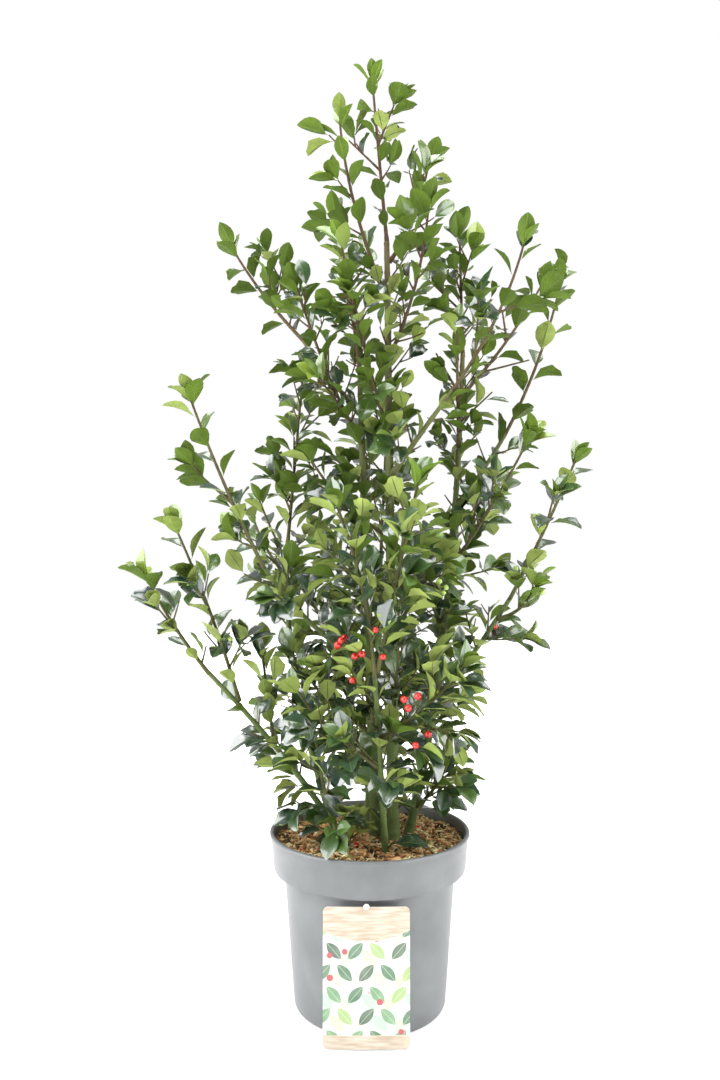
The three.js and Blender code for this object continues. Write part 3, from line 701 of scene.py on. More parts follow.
# Kinds of shoot: share where its leaves start, how young they are, leaves round its tip, radii at
# foot and tip, sides of its tube, and how far its foot is sunk and how much of its host's width
# it takes over.
SHOOT_KINDS = {
    "limb": (0.3, 0.5, 0, (0.0, 0.0), 0, (0, 0)),
    "stem": (0.04, 1.0, 6, (3.0 * MM, 1.7 * MM), 8, None),
    "side": (0.14, 0.85, 5, (1.9 * MM, 1.3 * MM), 6, (0.5 * MM, 0.4 * MM)),
    "spur": (0.25, 0.6, 4, (1.5 * MM, 1.0 * MM), 5, (0.3 * MM, 0.3 * MM)),
    "sprig": (0.35, 0.5, 3, (1.2 * MM, 0.85 * MM), 5, (0.2 * MM, 0.2 * MM)),
}


class Shoot:
    """One leafy twig: its run, the number of the mass whose space it is in, and its kind. hold is
    how far its foot is sunk and how much of its host's width it takes over."""

    def __init__(self, run, mass, kind, hold=None):
        self.run = run
        self.mass = mass
        self.kind = kind
        self.first, self.youth, self.end_leaves, self.radii, self.sides, usual = SHOOT_KINDS[kind]
        self.sink, self.takeover = hold or usual


def crowding(points):
    """The share of spurs that grow at a place: by height in the middle of the crown, and few
    farther out than the crown's width at that height."""
    height = points[..., 2]
    reach = np.linalg.norm(points[..., :2], axis=-1) / np.interp(height, *CROWN_WIDTH)
    inside = smoothstep(-CROWN_EDGE[1], -CROWN_EDGE[0], -reach)
    return mix(np.interp(height, *OUTER_SPURS), np.interp(height, *INNER_SPURS), inside)


def grow_spurs(run, space, dice, span, spacing, lengths, mass=None):
    """Short spurs along a run, each a golden angle round from the last. One that would leave its
    mass's space is tried again at two shorter lengths. On a limb, which is in no mass, each spur
    goes to the mass it is nearest to. Returns (spur, mass number) pairs."""
    count = max(1, int(run.length * (span[1] - span[0]) / spacing))
    first = dice.roll(0, 360)
    shares = mix(*span, (np.arange(count) + dice.rolls(0.1, 0.9, count)) / count)
    sizes = dice.rolls(*lengths, count) * mix(1, 0.7, shares)
    leans = np.radians(dice.rolls(*SPUR_LEAN, count))[:, None]
    tangents = run.tangents(shares)
    sides = around(tangents, first + GOLDEN_ANGLE * np.arange(count))
    directions = unit(tangents * np.cos(leans) + sides * np.sin(leans) + UP * SPUR_LIFT)
    feet = run.points(shares) + sides * run.radius(shares)[:, None] * 0.5
    kept = dice.rolls(0, 1, count) < crowding(feet)
    spurs = []
    for foot, direction, size in zip(feet[kept], directions[kept], sizes[kept]):
        for shorter in SPUR_TRIES:
            length = size * shorter
            tip = foot + direction * length
            bend = foot + direction * length * 0.5 - UP * length * SPUR_SAG
            spur = Run(foot, bend, tip, SPUR_RADII)
            index = space.nearest(tip) if mass is None else mass
            above = tip[2] > SOIL_TOP + SPUR_ABOVE_SOIL
            if above and space.holds(spur.links[4:], index, SPUR_BORDER).all():
                spurs.append((spur, index))
                break
    return spurs


def stem_hold(mass):
    """How far a mass's stem is sunk, and how much of its host's width it takes over: most of it
    past the host's tip, and little at its side."""
    radius = mass.host.radius(mass.at)
    if mass.at == 1:
        return TIP_SINK, max(radius * TIP_TAKEOVER - TIP_MARGIN, 0)
    return radius + SIDE_SINK, SIDE_TAKEOVER


def grow_shoots(limbs, masses, space, spacing):
    """Each mass's stem and side twigs, spurs along them and along the limbs, and sprigs on the
    longer spurs."""
    shoots = []
    hosts = []
    for mass in masses:
        stem = mass.stem.longer(STEM_GROWTH)
        shoots.append(Shoot(stem, mass.index, "stem", stem_hold(mass)))
        hosts.append((stem, mass.index, SPUR_SPAN, spacing, SPUR_LENGTH))
        for twig in grow_side_twigs(mass, space):
            longer = twig.longer(SIDE_GROWTH)
            if space.holds(longer.links[-2:], mass.index, SPUR_BORDER).all():
                twig = longer
            shoots.append(Shoot(twig, mass.index, "side"))
            hosts.append((twig, mass.index, SPUR_SPAN, spacing, SPUR_LENGTH))
    for limb in limbs.values():
        hosts.append((limb, None, LIMB_SPAN, spacing * LIMB_SPACING, LIMB_SPUR_LENGTH))
        shoots.append(Shoot(limb, -1, "limb"))
    dice = Dice(SEEDS["spurs"])
    sprig_growth = (SPRIG_SPAN, SPRIG_SPACING, SPRIG_LENGTH)
    for host, index, *growth in hosts:
        for spur, own in grow_spurs(host, space, dice, *growth, index):
            shoots.append(Shoot(spur, own, "spur"))
            if spur.length > SPRIG_FROM:
                for sprig, _ in grow_spurs(spur, space, dice, *sprig_growth, own):
                    shoots.append(Shoot(sprig, own, "sprig"))
    return shoots


def leaf_places(shoot, index, dice, sizes):
    """Leaf slots of a shoot: alternate ones along it and a tuft round its tip."""
    run = shoot.run
    spacing = sizes.leaf_spacing * mix(OUTER_SPACING, 1, float(crowding(run.points(0.5)[0])))
    along_count = max(1, int(round(run.length * (ALONG_END - shoot.first) / spacing)))
    shares = mix(shoot.first, ALONG_END, (np.arange(along_count) + 0.5) / along_count)
    shares = np.concatenate([shares, np.linspace(TUFT_FROM, 1, shoot.end_leaves)])
    shares = shares[run.radius(shares) < LEAFY_RADIUS]
    count = len(shares)
    ends = np.arange(count) >= along_count
    tipness = np.where(ends, 1.0, TIPNESS_AT_FOOT + TIPNESS_GAIN * shares**2)
    turns = dice.roll(0, 360) + GOLDEN_ANGLE * np.arange(count)
    leans = np.where(ends, dice.rolls(*TUFT_LEAN, count), dice.rolls(*ALONG_LEAN, count))
    height = smoothstep(YOUNG_FROM, YOUNG_TO, run.points(1)[0, 2])
    youth = YOUTH_OF_HEIGHT * height + YOUTH_OF_TIP * tipness * shoot.youth
    youth = youth + dice.roll(*SHOOT_CHANCE)
    youth = youth + dice.rolls(*LEAF_CHANCE, count)
    slots = {label: dice.rolls(*span, count) for label, span in LEAF_ROLLS.items()}
    slots["size"] = sizes.leaf_length * slots["size"] * np.where(ends, TUFT_SIZE, 1.0)
    slots["slim"] = slots["slim"] * mix(OLD_WIDTH, YOUNG_WIDTH, np.clip(youth, 0, 1))
    # More leaves take the darker, bluer cool tone lower in the crown: painted shade.
    shaded = COOL_SHARE - FEWER * smoothstep(COOL_FROM, COOL_TO, run.points(shares)[:, 2])
    return slots | {
        "shoot": np.full(count, index),
        "mass": np.full(count, shoot.mass),
        "foot": run.points(shares),
        "tangent": run.tangents(shares),
        "turn": turns,
        "lean": leans,
        "youth": youth,
        "radius": run.radius(shares),
        "teeth": TEETH * (1 - smoothstep(*TEETH_FADE, youth)),
        "tone": shaded + dice.rolls(*LEAF_TONE, count) + dice.roll(*SHOOT_TONE) > 0.5,
    }


def pose_leaves(slots, leaf_ratio, smaller, straighter, turned):
    """Gives each slot's leaf its directions: leaning out from the shoot, with its face towards the
    shoot's tip and the sky."""
    tangent = slots["tangent"]
    lean = np.radians(slots["lean"] * straighter)[:, None]
    sides = around(tangent, slots["turn"] + turned)
    old = 1 - np.clip(slots["youth"], 0, 1)[:, None]
    along = unit(tangent * np.cos(lean) + sides * np.sin(lean) - UP * (OLD_SAG * old))
    face = tangent + UP * (SKYWARD + OLD_SKYWARD * old)
    face = face + np.cross(along, tangent) * slots["roll"][:, None] * FACE_ROLL
    face = unit(face - along * (face * along).sum(-1, keepdims=True))
    size = slots["size"] * smaller
    return slots | {
        "along": along,
        "face": face,
        "across": np.cross(face, along),
        "size": size,
        "width": size * leaf_ratio * slots["slim"],
        "foot": slots["foot"] + sides * slots["radius"][:, None] * LEAF_FOOT_OUT,
    }


def keep_off_pot(points):
    """True where a place is above the compost and the pot's rim, or well outside the pot."""
    away = np.linalg.norm(points[..., :2], axis=-1)
    rim = POT["rim_radius"]
    over_rim = (away > rim - RIM_INSIDE) & (away < rim + RIM_OUTSIDE)
    floor = np.where(over_rim, POT["height"] + RIM_CLEAR, SOIL_TOP + SOIL_CLEAR)
    return (points[..., 2] > floor) | (away > rim + POT_PASSED)


def fits(leaves, space):
    """Tells which leaves stay in their mass's space, off limbs and pot, and in the solids' box."""
    points, _ = coarse_leaves(leaves)
    low, high = (np.array(corner) for corner in CAD_BOX)
    inside = ((points > low - PROUD) & (points < high + PROUD)).all(axis=(1, 2))
    inside &= (points[..., 2] > 0).all(axis=1) & keep_off_pot(points).all(axis=1)
    checked = points[:, HELD_POINTS]
    for index in np.unique(leaves["mass"]):
        own = np.flatnonzero((leaves["mass"] == index) & inside)
        if len(own):
            held = space.holds(checked[own].reshape(-1, 3), index, 0.0)
            inside[own] = held.reshape(len(own), -1).all(axis=1)
    return inside


def twig_cages(shoots):
    """Each shoot as a thin three-sided tube, so that no leaf is let through it. Returns points,
    faces and the shoot's number for each face."""
    shares = np.linspace(0, 1, CAGE_RINGS)
    points = []
    for shoot in shoots:
        middle, tangents = shoot.run.points(shares), shoot.run.tangents(shares)
        radii = shoot.run.radius(shares)[:, None]
        rings = [
            middle + around(tangents, np.full(CAGE_RINGS, turn)) * radii for turn in (0, 120, 240)
        ]
        points.append(np.stack(rings, axis=1).reshape(-1, 3))
    faces = grid_quads(CAGE_RINGS, 3, True).reshape(-1, 4)
    owners = np.repeat(np.arange(len(shoots)), len(faces))
    return np.concatenate(points), repeated(faces, len(shoots), len(points[0])), owners


def crossings(leaves, cages, berries, shoots):
    """Pairs of a leaf's number and of what it crosses, the lower first: another leaf, or past the
    count of leaves a shoot, or past both a berry. A leaf may cross its own shoot."""
    points, faces = coarse_leaves(leaves)
    count, each = points.shape[:2]
    polygons = [tuple(corner + each * k for corner in face) for k in range(count) for face in faces]
    everything = [points.reshape(-1, 3)]
    owners = [np.repeat(np.arange(count), len(faces))]
    start = each * count
    for more, more_faces, owner in (cages, (*berries, np.full(len(berries[1]), shoots))):
        polygons += [tuple(face) for face in (more_faces + start).tolist()]
        everything.append(more)
        owners.append(count + owner)
        start += len(more)
    tree = BVHTree.FromPolygons(np.concatenate(everything).tolist(), polygons)
    pairs = np.concatenate(owners)[np.array(tree.overlap(tree), dtype=np.int64).reshape(-1, 2)]
    pairs = np.unique(pairs[pairs[:, 0] < pairs[:, 1]], axis=0)
    pairs = pairs[pairs[:, 0] < count]
    return pairs[pairs[:, 1] != count + leaves["shoot"][pairs[:, 0]]]


def pick_leaves(shoots, space, sizes, berries):
    """Deals leaves to every slot, then skips each that would leave its space or cross an earlier
    leaf, a twig or a berry. A slot left empty has its leaf tried again in the next round."""
    dice = Dice(SEEDS["leaves"])
    slots = joined([leaf_places(shoot, index, dice, sizes) for index, shoot in enumerate(shoots)])
    slots["slot"] = np.arange(len(slots["shoot"]))
    on_limbs = np.flatnonzero(slots["mass"] < 0)
    slots["mass"][on_limbs] = [space.nearest(place) for place in slots["foot"][on_limbs]]
    ratio = sizes.leaf_width / sizes.leaf_length
    cages = twig_cages(shoots)
    empty = np.ones(len(slots["slot"]), dtype=bool)
    kept = None
    for attempt in LEAF_TRIES:
        tries = pose_leaves(take(slots, empty), ratio, *attempt)
        tries = take(tries, fits(tries, space))
        pool = tries if kept is None else joined([kept, tries])
        first_new = 0 if kept is None else len(kept["slot"])
        count = len(pool["slot"])
        pairs = crossings(pool, cages, berries, len(shoots))
        good = np.ones(count, dtype=bool)
        good[pairs[pairs[:, 1] >= count, 0]] = False
        good[:first_new] = True
        for early, late in pairs[pairs[:, 1] < count].tolist():
            if good[early] and good[late] and late >= first_new:
                good[late] = False
        kept = take(pool, good)
        empty[kept["slot"]] = False
    return kept


def leaf_faces():
    """Faces of one leaf: rows of six upper and two under-rib points, then the root and the tip.
    Returns quads, triangles and their materials: blade 0, rib 1, underside 2."""
    ring = (0, 1, 2, 3, 4, 5, 7, 6)
    kinds = (0, 0, 1, 0, 0, 2, 1, 2)
    pairs = list(zip(ring, ring[1:] + ring[:1]))
    last = LEAF_BODY - LEAF_RING
    quads = [
        (start + a, start + b, start + b + LEAF_RING, start + a + LEAF_RING)
        for start in range(0, last, LEAF_RING) for a, b in pairs
    ]
    root, tip = LEAF_BODY, LEAF_BODY + 1
    ends = [(root, b, a) for a, b in pairs] + [(tip, last + a, last + b) for a, b in pairs]
    quad_kinds = np.array(kinds * (len(LEAF_ROWS) - 1))
    return np.array(quads)[:, ::-1], np.array(ends)[:, ::-1], quad_kinds, np.array(kinds * 2)


def leaf_mesh(name, leaves, materials):
    """All leaves of one age as one object: two skins that meet at the edge, the lower one kept
    the leaf's thickness below the upper one along its rib. materials are the blade, rib and
    underside of a leaf, and the blade and underside of a leaf of the other tone."""
    rows = len(LEAF_ROWS)
    up = leaves["face"][:, None, None]
    upper = leaf_rows(leaves, LEAF_ROWS, LEAF_COLUMNS)
    under = leaf_rows(leaves, LEAF_ROWS, RIB_COLUMNS) - up * LEAF_THICKNESS * 1.3
    grid = np.concatenate([upper, under], axis=2)
    grid[:, :, 2:4] += up * RIB_RISE
    count = len(grid)
    ends = np.stack([leaves["foot"], leaf_tips(leaves)], axis=1)
    points = np.concatenate([grid.reshape(count, LEAF_BODY, 3), ends], axis=1).reshape(-1, 3)
    quads, triangles, quad_kinds, triangle_kinds = leaf_faces()
    tones = np.where(leaves["tone"][:, None], [[3, 1, 4]], [[0, 1, 2]])
    slots = np.concatenate([tones[:, quad_kinds].ravel(), tones[:, triangle_kinds].ravel()])
    border = np.zeros((rows, LEAF_RING), dtype=bool)
    border[:, [0, len(LEAF_COLUMNS) - 1]] = True
    border = np.concatenate([border.ravel(), [True, True]])
    share = np.concatenate([np.repeat(LEAF_ROWS[:, 0], LEAF_RING), [0, 1]])
    column = np.concatenate([np.tile([*LEAF_COLUMNS, *RIB_COLUMNS], rows), [0, 0]])
    uv = np.tile(np.stack([share, column * 0.5 + 0.5], axis=-1), (count, 1))
    return mesh_object(
        name, points, repeated(quads, count, LEAF_POINTS), repeated(triangles, count, LEAF_POINTS),
        materials, slots, uv, np.tile(border, count),
    )


# ---------- limbs, twigs and berries ----------

# Sides and steps of a limb's and a twig's tube, the way between old nodes, and the lengths over
# which a flare, a collar and a host's width fade.
LIMB_SIDES = 18
LIMB_STEP, TWIG_STEP = 3.2 * MM, 6 * MM
LIMB_NODES = 23 * MM
FLARE_FADE, COLLAR_FADE, TAKEOVER_FADE = 14 * MM, 7 * MM, 9 * MM

# Ridges of the bark: rise as a share of the radius, number round a limb, and radians in a metre
# along it. Then where the first node is in mm, the rise of a node's ring and of its scar, the
# ring's width, how narrow the scar is, and the rise and radians in a metre of a twig's joints.
RIDGES = ((0.035, 3, 31), (0.028, 5, -53), (0.022, 2, 210))
FIRST_NODE = (9, 20)
RING_RISE, SCAR_RISE = 0.05, 0.2
RING_WIDTH = 1.5 * MM
SCAR_NARROWNESS = 2.2
JOINT_RISE, JOINT_WAVES = 0.07, 480

# A berry's height as a share of its width, and the angle from its pole at which its rings start.
# Its scar: place and size as shares of its radius, rows, sides and dimple.
BERRY_FLATNESS = 0.94
POLE_ANGLE = 0.18
SCAR_PLACE, SCAR_SIZE, SCAR_FORM = 0.86, 0.2, (4, 6, 0.5)


def tube(middles, radii, sides):
    """Rings round a path, square to it: each point has a radius, or one for each side, and both
    ends close on a point. Returns points, quads and triangles."""
    steps = unit(np.gradient(middles, axis=0))
    turns = np.arange(sides) * 360 / sides
    spokes = np.stack([around(steps, np.full(len(middles), turn)) for turn in turns], axis=1)
    radii = np.broadcast_to(np.asarray(radii).reshape(len(middles), -1), (len(middles), sides))
    ends = np.stack([
        middles[0] - steps[0] * radii[0].mean() * 0.4,
        middles[-1] + steps[-1] * radii[-1].mean() * 0.6,
    ])
    return capped(middles[:, None] + spokes * radii[..., None], ends)


def sunk_tube(run, shares, radii, sink, sides):
    """A tube along a run, with its foot carried on backwards into what the run grows from."""
    middles = run.points(shares)
    if sink > 0:
        middles = np.concatenate([(middles[0] - run.tangents(0)[0] * sink)[None], middles])
        radii = np.concatenate([radii[:1], radii])
    return tube(middles, radii, sides)


def merge(parts):
    """Joins (points, quads, triangles) parts into one, with their numbers shifted."""
    points, quads, triangles, shift = [], [], [], 0
    for part in parts:
        points.append(part[0])
        quads.append(np.asarray(part[1]).reshape(-1, 4) + shift)
        triangles.append(np.asarray(part[2]).reshape(-1, 3) + shift)
        shift += len(part[0])
    return np.concatenate(points), np.concatenate(quads), np.concatenate(triangles)


def limb_surface(run, flare, collar, sink, dice):
    """A limb's bark: its taper, a flare or collar at the foot that fades along it, low ridges that
    wander round it as sines of angle and way, and rings with a bud scar at old shoots' nodes."""
    length = run.length
    shares = np.linspace(0, 1, int(length / LIMB_STEP) + 2)
    way = (shares * length)[:, None]
    angle = np.arange(LIMB_SIDES)[None, :] * 2 * math.pi / LIMB_SIDES
    radius = run.radius(shares)[:, None]
    radius = radius * (1 + flare * np.exp(-way / FLARE_FADE) + collar * np.exp(-way / COLLAR_FADE))
    # The last phase is spare: the rolls after it keep their places in the dice's row.
    phases = dice.rolls(*ANY_PHASE, len(RIDGES) + 1)
    ridges = 0
    for (rise, number, waves), phase in zip(RIDGES, phases):
        ridges = ridges + rise * np.sin(number * angle + way * waves + phase)
    rings = np.zeros((len(shares), LIMB_SIDES))
    for node in np.arange(dice.roll(*FIRST_NODE) * MM, length, LIMB_NODES):
        near = np.exp(-((way - node) / RING_WIDTH) ** 2)
        scar = np.exp(-SCAR_NARROWNESS * (1 - np.cos(angle - dice.roll(*ANY_PHASE))))
        rings = rings + near * (RING_RISE + SCAR_RISE * scar)
    return sunk_tube(run, shares, radius * (1 + ridges + rings), sink, LIMB_SIDES)


def twig_surface(shoot, dice):
    """A young shoot: a tube that takes over its host's width, with a slight joint at each node."""
    run = shoot.run
    shares = np.linspace(0, 1, max(4, int(run.length / TWIG_STEP)))
    way = shares * run.length
    radius = mix(*shoot.radii, shares) + shoot.takeover * np.exp(-way / TAKEOVER_FADE)
    radius = radius * (1 + JOINT_RISE * np.sin(way * JOINT_WAVES + dice.roll(*ANY_PHASE)))
    return sunk_tube(run, shares, radius, shoot.sink, shoot.sides)


def ball(centre, radius, axis, rows=7, sides=10, dimple=0.14):
    """A berry: a sphere about an axis, a little flat, with a shallow dimple at both poles. A ring's
    radius is the sine of its angle from the pole and its height the cosine."""
    angle = np.linspace(POLE_ANGLE, math.pi - POLE_ANGLE, rows)
    out = np.sin(angle) * radius
    along = np.cos(angle) * radius * BERRY_FLATNESS
    pole = axis * (radius * (BERRY_FLATNESS - dimple))
    helper = unit(np.cross(axis, GUIDE))
    turn = np.arange(sides)[:, None] * 2 * math.pi / sides
    ring = np.cos(turn) * helper + np.sin(turn) * np.cross(axis, helper)
    rings = centre + out[:, None, None] * ring[None] + along[:, None, None] * axis
    points, quads, caps = capped(rings, np.stack([centre + pole, centre - pole]))
    return points, quads[:, ::-1], caps[:, [0, 2, 1]]


def berry(centre, radius, axis):
    """A berry and the scar at its far pole."""
    scar = ball(centre + axis * radius * SCAR_PLACE, radius * SCAR_SIZE, axis, *SCAR_FORM)
    return ball(centre, radius, axis), scar


# ---------- materials ----------

PALE_VEIN = (0.5, 0.6, 0.16)

# Layers of leaf ovals on the tag: shifts sideways and up in cells, and four tints.
PRINT_LAYERS = (
    (0.37, 0.3, (0.4, 0.49, 0.36), (0.33, 0.45, 0.36), (0.47, 0.53, 0.33), (0.5, 0.5, 0.42)),
    (0.0, 0.0, (0.03, 0.1, 0.05), (0.1, 0.22, 0.1), (0.25, 0.35, 0.12), (0.015, 0.045, 0.025)),
)


def fill(tree, node, values):
    """Sets a node's inputs by name or number: each value is a constant or another node's output."""
    for label, value in values.items():
        socket = node.inputs[label]
        if isinstance(value, bpy.types.NodeSocket):
            tree.links.new(value, socket)
        elif socket.type == "RGBA":
            socket.default_value = (*value, 1)
        else:
            socket.default_value = value


def add_node(tree, kind, values=None, **settings):
    """A shader node with its settings, and then its inputs."""
    node = tree.nodes.new("ShaderNode" + kind)
    for label, value in settings.items():
        setattr(node, label, value)
    fill(tree, node, values or {})
    return node


def object_place(tree):
    return add_node(tree, "TexCoord").outputs["Object"]


def card_place(tree):
    return add_node(tree, "UVMap", uv_map="UVMap").outputs["UV"]


def split(tree, place):
    return add_node(tree, "SeparateXYZ", {0: place}).outputs


def join(tree, x, y, z=0.0):
    return add_node(tree, "CombineXYZ", {"X": x, "Y": y, "Z": z}).outputs[0]


def noise(tree, place, scale, detail, roughness=0.5):
    values = {"Vector": place, "Scale": scale, "Detail": detail, "Roughness": roughness}
    return add_node(tree, "TexNoise", values).outputs["Fac"]


def bump(tree, height, distance):
    return add_node(tree, "Bump", {"Height": height, "Distance": distance}).outputs["Normal"]


def map_range(tree, value, low, high, to_low=0.0, to_high=1.0, **settings):
    """A value carried from one range to another, and held at both ends of it."""
    values = {"Value": value, "From Min": low, "From Max": high}
    values |= {"To Min": to_low, "To Max": to_high}
    return add_node(tree, "MapRange", values, **settings).outputs["Result"]


def overlay(tree, amount, below, above):
    """One colour laid over another by an amount; each is a tint or another node's output."""
    values = {"Factor": amount, "A": below, "B": above}
    return add_node(tree, "Mix", values, data_type="RGBA").outputs["Result"]


def node_group(name, inputs, output, kind="NodeSocketFloat"):
    """An empty shader node group with float inputs, given with their defaults, and one output.
    Returns the group, the sockets that carry its inputs, and its output node."""
    group = bpy.data.node_groups.new(name, "ShaderNodeTree")
    for label, default in inputs.items():
        socket = group.interface.new_socket(label, in_out="INPUT", socket_type="NodeSocketFloat")
        socket.default_value = default
    group.interface.new_socket(output, in_out="OUTPUT", socket_type=kind)
    given = group.nodes.new("NodeGroupInput").outputs
    return group, given, group.nodes.new("NodeGroupOutput")


def calc(tree, operation, *values, clamp=False):
    """A Math node's result; each value is a number or another node's output."""
    values = dict(enumerate(values))
    return add_node(tree, "Math", values, operation=operation, use_clamp=clamp).outputs[0]


def mottle_group():
    """Soft patches: noise on Object coordinates, spread by Contrast about a half."""
    group, given, out = node_group("mottle", {"Scale": 40.0, "Contrast": 1.0}, "Amount")
    patches = noise(group, object_place(group), given["Scale"], 3, 0.6)
    centred = calc(group, "SUBTRACT", patches, 0.5)
    amount = calc(group, "MULTIPLY_ADD", centred, given["Contrast"], 0.5, clamp=True)
    fill(group, out, {"Amount": amount})


def relief_group():
    """Fine relief: a bump, Depth metres deep, from noise whose place along Z is multiplied by
    Stretch."""
    inputs = {"Scale": 400.0, "Stretch": 1.0, "Depth": 0.0003}
    group, given, out = node_group("fine_relief", inputs, "Normal", "NodeSocketVector")
    x, y, z = split(group, object_place(group))
    place = join(group, x, y, calc(group, "MULTIPLY", z, given["Stretch"]))
    height = noise(group, place, given["Scale"], 4, 0.65)
    fill(group, out, {"Normal": bump(group, height, given["Depth"])})


def use_group(tree, group, **values):
    return add_node(tree, "Group", values, node_tree=bpy.data.node_groups[group]).outputs[0]


def blank_material(name, roughness, specular=0.5, coat=0.0, coat_roughness=0.1, coat_ior=1.5):
    """A new material, its node tree and its shader."""
    material = bpy.data.materials.new(name)
    material.use_nodes = True
    tree = material.node_tree
    shader = tree.nodes["Principled BSDF"]
    fill(tree, shader, {
        "Roughness": roughness,
        "Specular IOR Level": specular,
        "Coat Weight": coat,
        "Coat Roughness": coat_roughness,
        "Coat IOR": coat_ior,
    })
    return material, tree, shader


def shade(tint, factor):
    return tuple(min(1.0, channel * factor) for channel in tint)


def between(tint, other, share):
    return tuple(mix(a, b, share) for a, b in zip(tint, other))


def plain_finish(name, tint, spread, scale, roughness, depth, relief, stretch=1.0, **shine):
    """A surface of one tint that lightens and darkens in patches, with fine relief and a
    roughness that follows the patches."""
    material, tree, shader = blank_material(name, roughness, **shine)
    patches = use_group(tree, "mottle", Scale=scale, Contrast=2.2)
    rougher = min(1.0, roughness * 1.2)
    fill(tree, shader, {
        "Base Color": overlay(tree, patches, shade(tint, 1 - spread), shade(tint, 1 + spread)),
        "Roughness": map_range(tree, patches, 0.0, 1.0, roughness * 0.82, rougher),
        "Normal": use_group(tree, "fine_relief", Scale=relief, Stretch=stretch, Depth=depth),
    })
    return material


def vein_group():
    """Side veins of a leaf on its own UV map, where x runs from root to tip and y from edge to
    edge. A vein is where Count times (x less half the distance from the rib) is a whole number
    and a half, and it fades to both sides."""
    group, given, out = node_group("leaf_veins", {"Count": 9.0}, "Amount")
    work = functools.partial(calc, group)
    x, y, _ = split(group, card_place(group))
    away = work("ABSOLUTE", work("SUBTRACT", y, 0.5))
    along = work("SUBTRACT", x, work("MULTIPLY", away, 0.5))
    wave = work("FRACT", work("MULTIPLY", along, given["Count"]))
    line = work("ABSOLUTE", work("SUBTRACT", wave, 0.5))
    fill(group, out, {"Amount": map_range(group, line, 0.14, 0.0)})


def veined_finish(name, tint, lift, depth, roughness, **shine):
    """A leaf's skin: its tint lightens and darkens in patches, and its side veins are lifted
    towards a paler tint and stand out by depth."""
    material, tree, shader = blank_material(name, roughness, **shine)
    patches = use_group(tree, "mottle", Scale=34.0, Contrast=2.4)
    veins = use_group(tree, "leaf_veins", Count=9.0)
    tone = overlay(tree, patches, shade(tint, 0.72), shade(tint, 1.28))
    lifted = calc(tree, "MULTIPLY", veins, lift)
    fill(tree, shader, {
        "Base Color": overlay(tree, lifted, tone, between(tint, PALE_VEIN, 0.45)),
        "Roughness": map_range(tree, patches, 0.0, 1.0, roughness * 0.8, roughness * 1.2),
        "Normal": bump(tree, veins, depth),
    })
    return material


def leaf_material(name, tint, young):
    """The upper skin of a leaf: waxy and dark when old, softer when young."""
    return veined_finish(
        name, tint, 0.09, -0.00005, mix(0.28, 0.4, young),
        specular=mix(0.5, 0.4, young), coat=mix(1.0, 0.5, young), coat_roughness=0.17, coat_ior=2.0,
    )


def under_material(name, tint):
    """The lower skin of a leaf: dull, with its veins raised."""
    return veined_finish(name, tint, 0.12, 0.00006, 0.6, specular=0.12)


def cool(tint):
    """The same leaf a little bluer and darker: a shaded copy of its tint, which paints shade."""
    return (tint[0] * 0.7, tint[1] * 0.84, tint[2] * 1.3)


def bark_material(name, low, high, spots):
    """Smooth young bark: one tint near the soil and one higher up, in long streaks, with pale
    pores where a cell noise has its centres."""
    material, tree, shader = blank_material(name, 0.66, specular=0.15)
    place = object_place(tree)
    streaks = use_group(tree, "mottle", Scale=70.0, Contrast=2.0)
    climb = map_range(tree, split(tree, place)["Z"], 0.6, 1.2)
    wander = calc(
        tree, "MULTIPLY_ADD", streaks, 0.5, calc(tree, "SUBTRACT", climb, 0.25), clamp=True
    )
    cells = add_node(tree, "TexVoronoi", {"Vector": place, "Scale": 260}).outputs["Distance"]
    pores = map_range(tree, cells, 0.24, 0.12, to_high=0.55)
    fill(tree, shader, {
        "Base Color": overlay(tree, pores, overlay(tree, wander, low, high), spots),
        "Normal": use_group(tree, "fine_relief", Scale=420.0, Stretch=0.35, Depth=0.0006),
    })
    return material


def leaf_ovals(tree, side, up, greens):
    """A staggered pattern of leaf ovals in cells of one by one, leaning left and right by turns
    and tinted by chance. An oval is where the distance across it is less than 0.27 less 0.95
    times the square of the distance along it. Returns the amount and the tint."""
    work = functools.partial(calc, tree)
    row = work("FLOOR", up)
    odd = work("MODULO", row, 2.0)
    side = work("MULTIPLY_ADD", odd, 0.5, side)
    column = work("FLOOR", side)
    chance = add_node(tree, "TexWhiteNoise", {"Vector": join(tree, column, row)}).outputs["Value"]
    x = work("SUBTRACT", work("FRACT", side), 0.5)
    y = work("SUBTRACT", work("FRACT", up), 0.5)
    lean = work("MULTIPLY_ADD", work("MODULO", work("ADD", column, odd), 2.0), 1.7, -0.85)
    cosine, sine = work("COSINE", lean), work("SINE", lean)
    along = work("MULTIPLY_ADD", x, cosine, work("MULTIPLY", y, sine))
    across = work("SUBTRACT", work("MULTIPLY", y, cosine), work("MULTIPLY", x, sine))
    across = work("ABSOLUTE", across)
    arc = work("MULTIPLY_ADD", work("MULTIPLY", along, along), -0.95, 0.27)
    amount = work("MULTIPLY", work("SUBTRACT", arc, across), 24.0, clamp=True)
    ramp = add_node(tree, "ValToRGB", {"Fac": chance})
    ramp.color_ramp.interpolation = "CONSTANT"
    steps = ramp.color_ramp.elements
    steps.remove(steps[1])
    steps[0].color = (*greens[0], 1)
    for position, tint in zip((0.34, 0.64, 0.86), greens[1:]):
        steps.new(position).color = (*tint, 1)
    rib = work("SUBTRACT", 1.0, work("MULTIPLY", across, 55.0, clamp=True))
    tint = overlay(tree, work("MULTIPLY", rib, 0.7), ramp.outputs["Color"], (0.5, 0.55, 0.45))
    return amount, tint


